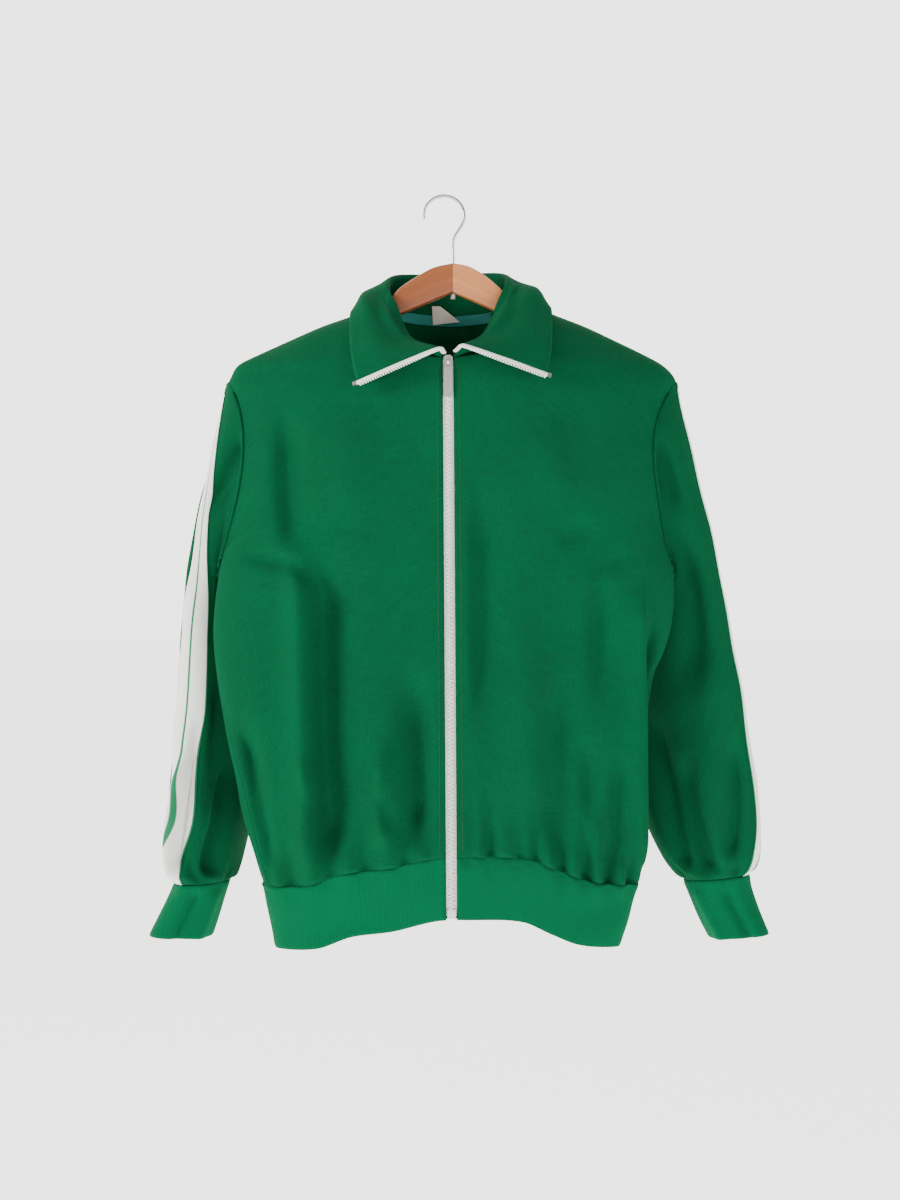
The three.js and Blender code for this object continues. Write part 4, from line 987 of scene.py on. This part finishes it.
# Armhole seams, as a fine welt that the panels and the sleeve's head meet under
WELT = 1.2
turn = np.linspace(0, 360, 301)[:-1]
round_turn = np.arange(0, 360, 36)[None, :, None]
for side, word in SIDES:
    angle, z = armhole(turn)
    line = torso(side, angle, z)
    away = unit(line - torso(side, angle + 1.5 * sind(turn), z + 1.5 * cosd(turn)))
    along = unit(np.roll(line, -1, 0) - np.roll(line, 1, 0))
    out = unit(np.cross(along, away)) * side
    centre = (line - out * 0.75 * WELT)[:, None]
    ring = centre + (away[:, None] * cosd(round_turn) + out[:, None] * sind(round_turn)) * WELT
    uv = 0.002 * np.indices(ring.shape[:2])[::-1].reshape(2, -1).T
    tube("armhole_seam_" + word, ring, uv, green_jersey, [0, 1, 2, 3], True)

# Cuffs
CUFF = "at oX oY zO fX fY iX iY bX bY zI"
CUFFS = {
    -1: table(CUFF + """
0 -274 -1 -697.9 -250 -27 -218.5 8 -246 31 -697.9
1 -281 -2 -713 -254 -25 -224 6 -252 27 -714
2 -291 -3 -733 -262 -25 -230 4 -260 25 -734
3 -300 -4 -751 -270 -27 -236 2 -268 25 -753
"""),
    1: table(CUFF + """
0 310.5 -2 -689.6 278 -18 245.5 6 276 24 -697.6
1 314 -2 -705 282 -18 251 4 280 21 -713
2 322 -3 -728 291 -19 260 2 289 19 -735
3 331 -4 -750 301 -21 270 0 299 19 -755
"""),
}
for side, word in SIDES:
    turns = np.linspace(0, 360, 161)[None, :-1]
    at = np.linspace(0, 3, 42)[:, None]
    base = oval(CUFFS[side], at + 0 * turns, turns + 0 * at)
    n = normals_of(base, True, -side)
    down = arc(base, 0)
    start, end = (96, 92) if side < 0 else (84, 70)
    rise = creased(wrapped(turns) + 0 * at, base[..., 2], numbers(f"""
{start} -700 {end} -765 3 10 14 -2.2 0.2 0.2
140 -700 132 -765 3 12 14 1.6 0.2 0.2
-60 -700 -70 -765 3 12 14 -2 0.2 0.2
"""))
    rise += pleats(turns, down, 9 + side, 13, 14.0, 0.9)
    dip = -0.8 * np.exp(-((down / 2) ** 2)) - 0.7 * np.exp(-(((down[-1:] - down) / 1.5) ** 2))
    p = base + n * (rise + dip)[..., None]
    uv = np.stack([arc(p, 1) * MM, down * MM], -1)
    shell("cuff_" + word, p, RIB_WALL, green_rib, True, -side, uv)

# Waistband
BAND_GAP = -0.5  # the band starts just over the panels' feet
BAND_ROWS, BAND_FINE_COLS = 34, 150


def joined(first, second):
    """Two halves that share their last column, as one grid."""
    return np.concatenate([first, second[:, ::-1][:, 1:]], 1)


def band_half(side):
    u, v = np.linspace(0, 1, BAND_FINE_COLS)[None, :], np.linspace(0, 1, BAND_ROWS)[:, None]
    start = zip_edge_angle(side, -690.0)
    level = waist_seam(side, lerp(start, 180, u)) - BAND_GAP - v * (WAIST_BAND - BAND_GAP)
    return torso(side, lerp(zip_edge_angle(side, level), 180, u), level)


base = joined(band_half(-1), band_half(1))
x, down, across = base[..., 0], arc(base, 0), arc(base, 1)
rise = hills(across, down, 3, 70, 0.8)
for rows, shown in ((FRONT_GATHERS, base[..., 1] < -10), (BACK_GATHERS, base[..., 1] >= -10)):
    rise += gathered(x, down, [(a, b, c * 0.3, 16) for a, b, c, _ in rows]) * shown
rise *= smooth(across / 8) * smooth((across[:, -1:] - across) / 8)
p = base + normals_of(base, False, -1) * (rise + edge_dip(base, 0.8, 1.8, (1, 1, 0.5, 0.5)))[..., None]
shell("waistband", p, RIB_WALL, green_rib, False, -1)

# Collar
COLLAR = "at rollX rollY rollZ edgeX edgeY edgeZ puff"
COLLARS = {
    -1: table(COLLAR + """
0 11 -68 -163 92 -68 -196 3
0.17 38 -45 -151 100 -47 -156 7
0.33 53 -21 -122 101 -20 -124 10
0.5 65 -2 -91 99 6 -113 9
0.67 58 38 -71 88 42 -121 8
0.83 32 52 -68 48 60 -126 4
1 0 56 -67 0 63 -128 2
"""),
    1: table(COLLAR + """
0 13 -68 -160 96 -68 -188 3
0.17 33 -45 -147 102 -47 -152 7
0.33 46 -21 -117 103 -21 -121 10
0.5 59 -2 -86 101 6 -110 10
0.67 55 39 -69 88 42 -119 9
0.83 32 52 -67 48 60 -126 4
1 0 56 -67 0 63 -128 2
"""),
}
COLLAR_FRONT = 0.55
ROLL_HALF = 4.5
STAND_OFF = (0.3, 2.1, 2.1)  # along, up, inward
FALL_CLEAR = 4.5
FALL_STARTS = 0.55


def through_points(knots, t):
    """A centripetal Catmull-Rom curve through knots, at one share of the way."""
    count = len(knots)
    place = (count - 1) * t
    i = min(int(place), count - 2)
    w = place - i
    p1, p2 = knots[i], knots[i + 1]
    p0 = knots[i - 1] if i > 0 else 2 * p1 - p2
    p3 = knots[i + 2] if i + 2 < count else 2 * p2 - p1

    def gap(a, b):
        return np.maximum(np.linalg.norm(b - a, axis=-1, keepdims=True), 1e-6) ** 0.5

    d0, d1, d2 = gap(p0, p1), gap(p1, p2), gap(p2, p3)
    t1 = ((p1 - p0) / d0 - (p2 - p0) / (d0 + d1) + (p2 - p1) / d1) * d1
    t2 = ((p2 - p1) / d1 - (p3 - p1) / (d1 + d2) + (p3 - p2) / d2) * d1
    return p1 + t1 * w + (-3 * p1 + 3 * p2 - 2 * t1 - t2) * w**2 + (2 * p1 - 2 * p2 + t1 + t2) * w**3


def collar_knots(side, at):
    def v(key):
        return column(COLLARS[side], key, at)

    sewn = neck(side, 1 - np.minimum(at, COLLAR_FRONT) / COLLAR_FRONT)
    behind = neck(side, past(at, COLLAR_FRONT), True)
    foot = torso(side, *choose(at < COLLAR_FRONT, sewn, behind))
    roll = np.stack([AXIS_X + side * v("rollX"), v("rollY"), v("rollZ")], -1)
    edge = np.stack([AXIS_X + side * v("edgeX"), v("edgeY"), v("edgeZ")], -1)
    rise, fall = unit(roll - foot), unit(edge - roll)
    out = unit(np.stack([side * v("rollX"), v("rollY") * 1.4, 0 * at], -1))
    start = foot + rise * STAND_OFF[0] - out * STAND_OFF[2] + np.array([0, 0, STAND_OFF[1]])
    inner = roll - (out + rise) * ROLL_HALF
    outer = roll + (out + fall) * ROLL_HALF
    lift = unit(np.cross(np.cross(fall, out), fall))
    flip = ((lift * out).sum(-1) + lift[..., 2] < 0)[..., None]
    lift = np.where(flip, -lift, lift)
    middle = (outer + edge) / 2 + lift * v("puff")[..., None]
    return [start, (start + inner) / 2, inner, roll, outer, middle, edge]


def ridge_z(side, x):
    low, high = np.full(x.shape, ARM["tip"]), np.full(x.shape, TORSO["z"][0])
    for _ in range(22):
        z = (low + high) / 2
        wide = reach_of(side, z) > np.abs(x - AXIS_X)
        low, high = np.where(wide, z, low), np.where(wide, high, z)
    return low


def rested_on(side, p, share):
    x, y, z = p[..., 0], p[..., 1], p[..., 2]
    beyond = np.abs(x - AXIS_X) >= reach_of(side, z)
    over = ridge_z(side, x) + FALL_CLEAR * np.clip(2 - np.abs(y) / 8, 0, 1)
    surface_f = torso(side, angle_at(side, x, z), z)[..., 1]
    surface_b = torso(side, angle_at(side, x, z, True), z)[..., 1]
    rested = np.where(y > 0, np.maximum(y, surface_b + FALL_CLEAR), np.minimum(y, surface_f - FALL_CLEAR))
    new_z = np.where(beyond, lerp(z, np.maximum(z, over), share), z)
    new_y = np.where(beyond, y, lerp(y, rested, share))
    return np.stack([x, new_y, new_z], -1)


COLLAR_ROWS, COLLAR_COLS, SMOOTHINGS = 90, 110, 36


def collar_half(side):
    knots = collar_knots(side, np.linspace(0, 1, COLLAR_COLS))
    rows = []
    for v in np.linspace(0, 1, COLLAR_ROWS):
        share = smooth((v - FALL_STARTS) / 0.15)
        rows.append(rested_on(side, through_points(knots, v), share))
    return np.array(rows)


collar_points = joined(collar_half(-1), collar_half(1))
base = collar_points
for _ in range(SMOOTHINGS):
    base[:, 1:-1] = (base[:, :-2] + 2 * base[:, 1:-1] + base[:, 2:]) / 4
collar_n = normals_of(base, False, -1)
down = arc(base, 0) / arc(base, 0)[-1:]
rise = hills(arc(base, 1), arc(base, 0), 21, 60, 0.6) * smooth((down - 0.3) / 0.2)
p = base + collar_n * (rise + edge_dip(base, 0.7, 2.0, (1, 0.8, 0.4, 0.4)))[..., None]
shell("collar", p, COLLAR_WALL, green_jersey, False, -1)

# Zip: tapes, teeth, and edges along the collar with their teeth
TAPE_BEHIND = BODY_WALL + 0.7
SLIDER_TOP, SLIDER_FOOT = -170.0, -183.0
for side, word in SIDES:
    z = np.linspace(SLIDER_TOP - 4, ZIP_FOOT[1] + 2, 120)[:, None]
    x = zip_x(z) + np.linspace(side * 0.3, side * 9.0, 7)[None, :]
    z = z + 0 * x
    y = np.where(x < AXIS_X, *(torso(half, angle_at(half, x, z), z)[..., 1] for half in (-1, 1)))
    strip = np.stack([x, y + TAPE_BEHIND, z], -1)
    shell("zip_tape_" + word, strip, TAPE_WALL, white_tape, False, side)


def blocks(name, centres, along, across, out, size, material):
    """Many small bevelled blocks in one mesh: half sizes across, out and along."""
    corners, faces = [], [(3, 2, 1, 0), (8, 9, 10, 11)]
    for layer, inset in ((-1, 1.0), (0.35, 1.0), (1, 0.6)):
        for a, b in ((-1, -1), (1, -1), (1, 1), (-1, 1)):
            corners.append((a * size[0] * inset, layer * size[1], b * size[2] * inset))
    faces = np.concatenate([grid_faces(3, 4, True)[:, TURNED], faces])
    points = centres[:, None]
    for direction, reach in zip((across, out, along), np.array(corners).T):
        points = points + direction[:, None] * reach[None, :, None]
    faces = faces[None] + np.arange(len(centres))[:, None, None] * len(corners)
    mesh_object(name, points.reshape(-1, 3), faces.reshape(-1, 4), None, material, False)


TOOTH_PITCH = 2.0
WAYS = (0, 0, 1), (1, 0, 0), (0, -1, 0)
z = np.arange(SLIDER_FOOT - 1, ZIP_FOOT[1] + 9.5, -TOOTH_PITCH)
side_of = np.where(np.arange(len(z)) % 2 == 0, -1.0, 1.0)
y = torso(1, angle_at(1, zip_x(z) + 2, z), z)[..., 1]
centres = np.stack([zip_x(z) + side_of * 0.75, y + 1.2, z], -1)
up, right, forward = (np.tile(np.array(way, float), (len(z), 1)) for way in WAYS)
blocks("zip_teeth", centres, up, right, forward, (1.9, 1.2, 0.72), plastic)

EDGE_WIDE, EDGE_THICK = 4.5, 2.4
ROUND = np.linspace(0, 2 * math.pi, 17)[None, :-1, None]


def along_line(place, step, line):
    """Points at distances along a line."""
    return np.stack([np.interp(place, step, line[:, k]) for k in range(3)], -1)


edge_from = int(COLLAR_ROWS * 0.2)
for side, word in SIDES:
    own, near = (0, 2) if side < 0 else (-1, -3)
    line, inner = collar_points[edge_from:, own], collar_points[edge_from:, near]
    n = collar_n[edge_from:, own]
    away = line - inner
    away = unit(away - n * (away * n).sum(-1, keepdims=True))
    centre = line + away * (SEAM + EDGE_WIDE / 2) - n * (EDGE_THICK / 2)
    c, s = away[:, None] * np.cos(ROUND), n[:, None] * np.sin(ROUND)
    ring = centre[:, None] + c * EDGE_WIDE / 2 + s * EDGE_THICK / 2
    round_n = unit(c / EDGE_WIDE + s / EDGE_THICK)
    shell("zip_edge_" + word, ring, 0.9, white_tape, True, 1, None, round_n)
    step = arc(line[:, None], 0)[:, 0]
    place = np.arange(2.0, step[-1] - 2, 2.6)
    teeth = along_line(place, step, line + away * (EDGE_WIDE + 0.5) - n * EDGE_THICK / 2)
    on = np.clip(np.searchsorted(step, place), 1, len(step) - 1)
    along = unit(line[on] - line[on - 1])
    blocks("zip_edge_teeth_" + word, teeth, along, away[on], n[on], (1.5, 1.2, 0.75), plastic)

# Neck tape and label
foot_row = collar_points[0]
on = (foot_row[:, 1] > 0) & (foot_row[:, 0] > -47) & (foot_row[:, 0] < 51)
top = foot_row[on] + collar_n[0][on] * (SEAM + TAPE_WALL)
tape = np.stack([top - np.array([0, 0, drop]) for drop in np.linspace(0, 10.5, 8)])
tape[..., 1] += 0.4 * np.sin(np.linspace(0, 1, 8) * math.pi)[:, None]
shell("neck_tape", tape, TAPE_WALL, teal_tape, False, 1)
LABEL = ((-11.8, -123.3), (16.6, -120.0), (-4.4, -103.4), (-12.8, -103.4))
label_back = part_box("label")[1][1] / MM
u, v = np.linspace(0, 1, 16)[None, :], np.linspace(0, 1, 14)[:, None]
x, z = (lerp(lerp(d, c, u), lerp(a, b, u), v) for a, b, c, d in zip(*LABEL))
y = label_back - TAPE_WALL - 1.6 * np.sin(v * math.pi) * np.sin(0.3 + u * 2.2)
shell("label", np.stack([x, y, z], -1), TAPE_WALL, label_cloth, False, 1)

# Hanger
ARM_LINES = {
    -1: table("""
x top foot
9.2 -67.8 -97.5
-10 -72 -105.5
-26.5 -80.6 -112.5
-45 -93 -120
-54 -103 -124
-66 -117 -130
-80 -125.5 -138
-100 -133.5 -148
-150 -151 -168
-188 -170 -185
-200 -178 -187
"""),
    1: table("""
x top foot
9.2 -67.8 -97.5
25 -71 -104.3
41 -80 -111.4
60 -96 -120
78 -113 -129
96 -121 -137
116 -129.5 -146
160 -148 -166
200 -169 -186
213 -177 -188
"""),
}
ARM_ROUND = 2.6


for side, word in SIDES:
    rows = ARM_LINES[side]
    x = np.linspace(rows["x"][0], rows["x"][-1], 110)
    x = np.insert(x, 1, x[0] + side * 0.05)
    top, foot = column(rows, "top", x), column(rows, "foot", x)
    ring = []
    for k, (a, b) in enumerate(((-1, -1), (1, -1), (1, 1), (-1, 1))):
        for s in range(5):
            turn = math.radians(180 + 90 * k + s * 22.5)
            y = a * (HANGER_THICK / 2 - ARM_ROUND) + ARM_ROUND * math.cos(turn)
            lift = ARM_ROUND * math.sin(turn)
            z = (foot + ARM_ROUND + lift) if b < 0 else (top - ARM_ROUND + lift)
            ring.append(np.stack([x, np.full_like(x, y), z], -1))
    p = np.stack(ring, 1)
    uv = np.stack([p[..., 0] * MM, arc(p, 1) * MM], -1).reshape(-1, 2)
    # The right arm takes the wood copy with painted shade, the left arm the copy with painted light
    grain, order = (dark_wood, TURNED[::-1]) if side < 0 else (light_wood, TURNED)
    tube("hanger_" + word + "_wood", p, uv, grain, order)

# Hook, as one round wire
ring_radius = HOOK_INSIDE + WIRE_RADIUS
turn = np.radians(np.linspace(190, -38, 60))
path = [(ring_radius * math.cos(a), 0, ring_radius * math.sin(a) - HOOK_INSIDE) for a in turn]
path += [(10.4, 0, -41.5), (8.9, 0, -48), (SHANK_X, 0, -56), (SHANK_X, 0, -76), (SHANK_X, 0, -99)]
knots = [np.array(q, float) for q in path]
centre = np.array([through_points(knots, t) for t in np.linspace(0, 1, 260)])
along = unit(np.gradient(centre, axis=0))
sideways = np.tile([0.0, 1.0, 0.0], (len(centre), 1))
third = np.cross(along, sideways)
ends = np.ones((len(centre), 1, 1))
ends[:3, 0, 0] = (0.25, 0.7, 0.9)
ring = sideways[:, None] * np.cos(ROUND) + third[:, None] * np.sin(ROUND)
tube("hook_wire", centre[:, None] + ring * WIRE_RADIUS * ends, None, chrome)

# Stitches along the zip
TOPSTITCH, STITCH_PITCH = 6.0, 3.0


for side, word in SIDES:
    grid = fronts[side]
    n = normals_of(grid, False, side)
    run = arc(grid, 1)
    rows = range(round(FRONT_ROWS * NECK_SHARE) + 2, FRONT_ROWS - 2)
    line, out = (np.array([along_line(TOPSTITCH, run[r], field[r]) for r in rows]) for field in (grid, n))
    step = arc(line[:, None], 0)[:, 0]
    place = np.arange(STITCH_PITCH, step[-1] - STITCH_PITCH, STITCH_PITCH)
    centre, out = along_line(place, step, line), unit(along_line(place, step, out))
    along = unit(along_line(place + 0.5, step, line) - centre)
    across = np.cross(along, out)
    blocks("zip_stitches_" + word, centre + out * 0.05, along, across, out, (0.42, 0.28, 1.05), thread)

# The CAD nodes that keep their shape get their metal
for name in ("zip_slider", "pull_tab", "zip_box", "zip_stop_right", "zip_stop_left", "hook_nut"):
    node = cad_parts[name]
    node.data.materials.clear()
    node.data.materials.append(zip_metal if name in ("zip_slider", "pull_tab") else chrome)

REPLACED = {
    "zip_teeth": "zip_chain",
    "hook_wire": "hook",
    "hanger_right_wood": "hanger_arm_right",
    "hanger_left_wood": "hanger_arm_left",
}
for name, piece in pieces.items():
    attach(piece, "jacket")
    if name in REPLACED or name.endswith("_cloth"):
        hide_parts(REPLACED.get(name, name.replace("_cloth", "")))

# Each sheet of cloth: its flat width and length in metres, its cut area where the cut is not
# a rectangle, how it is held, and what it rests on or is sewn to
SHEETS = """
front_right 0.29 0.61 0.131 hung hanger_right_wood
front_left 0.29 0.61 0.128 hung hanger_left_wood
back 0.54 0.61 0.266 hung hanger_right_wood hanger_left_wood
shoulder_tape_right 0.175 0.038 - laid back_cloth
shoulder_tape_left 0.18 0.038 - laid back_cloth
sleeve_right 0.33 0.55 0.121 hung front_right_cloth back_cloth
sleeve_left 0.33 0.55 0.124 hung front_left_cloth back_cloth
sleeve_tape_right 0.045 0.53 0.018 laid sleeve_right_cloth
sleeve_tape_left 0.045 0.53 0.0195 laid sleeve_left_cloth
cuff_right 0.18 0.058 - gathered sleeve_right_cloth
cuff_left 0.165 0.062 - gathered sleeve_left_cloth
waistband 0.88 0.066 - gathered front_right_cloth front_left_cloth back_cloth
collar 0.44 0.115 0.043 folded front_right_cloth front_left_cloth back_cloth
zip_tape_right 0.01 0.556 - stretched front_right_cloth
zip_tape_left 0.01 0.556 - stretched front_left_cloth
zip_edge_right 0.0105 0.095 - stretched collar_cloth
zip_edge_left 0.0105 0.09 - stretched collar_cloth
neck_tape 0.107 0.0105 - stretched collar_cloth
label 0.023 0.0195 - hung neck_tape_cloth
"""
for name, wide, long, area, held, *rests in map(str.split, SHEETS.strip().splitlines()):
    flat, area = (float(wide), float(long)), None if area == "-" else float(area)

# Floor, light and camera
FLOOR_Z, FLOOR = -1.45, 40.0
PALE = (0.965, 0.96, 0.95, 1)
floor_looks = {"base_color": (0.86, 0.855, 0.84, 1), "emission_color": PALE, "emission_strength": 1.75}
floor = placed("floor", bpy.data.meshes.new("floor"))
corners = [(a * FLOOR, b * FLOOR, FLOOR_Z) for a, b in ((-1, -1), (1, -1), (1, 1), (-1, 1))]
floor.data.from_pydata(corners, [], [(0, 1, 2, 3)])
floor.data.materials.append(Mat("floor", roughness=0.9, **floor_looks).mat)

world = bpy.data.worlds.new("studio")
bpy.context.scene.world = world
world.use_nodes = True
nodes, links = world.node_tree.nodes, world.node_tree.links
background = nodes["Background"]
background.inputs["Color"].default_value = PALE
toward = nodes.new("ShaderNodeVectorMath")
toward.operation = "DOT_PRODUCT"
toward.inputs[1].default_value = (-0.3, 0.95, 0.0)
links.new(nodes.new("ShaderNodeTexCoord").outputs["Generated"], toward.inputs[0])
spread = nodes.new("ShaderNodeMapRange")
for key, value in (("From Min", -0.35), ("From Max", 0.75), ("To Min", 0.36), ("To Max", 3.4)):
    spread.inputs[key].default_value = value
spread.interpolation_type = "SMOOTHSTEP"
links.new(toward.outputs["Value"], spread.inputs["Value"])
links.new(spread.outputs[0], background.inputs["Strength"])


def area_light(name, place, target, size, power):
    data = bpy.data.lights.new(name, "AREA")
    data.shape = "SQUARE"
    data.size = size
    data.energy = power
    light = placed(name, data)
    light.location = place
    light.rotation_euler = (Vector(target) - Vector(place)).to_track_quat("-Z", "Y").to_euler()


area_light("window", (-2.5, -1.25, 0.5), (0.0, 0.0, -0.42), 0.9, 84)
area_light("fill", (2.0, -1.7, 0.1), (0.2, 0.0, -0.5), 1.2, 24)

camera = placed("camera", bpy.data.cameras.new("camera"))
camera.data.sensor_fit = "VERTICAL"
camera.data.angle = math.radians(41.9)
camera.location = (6.1 * MM, -1.6, -411 * MM)
camera.rotation_euler = (math.radians(90), 0, 0)
camera.data.clip_end = 100
bpy.context.scene.camera = camera
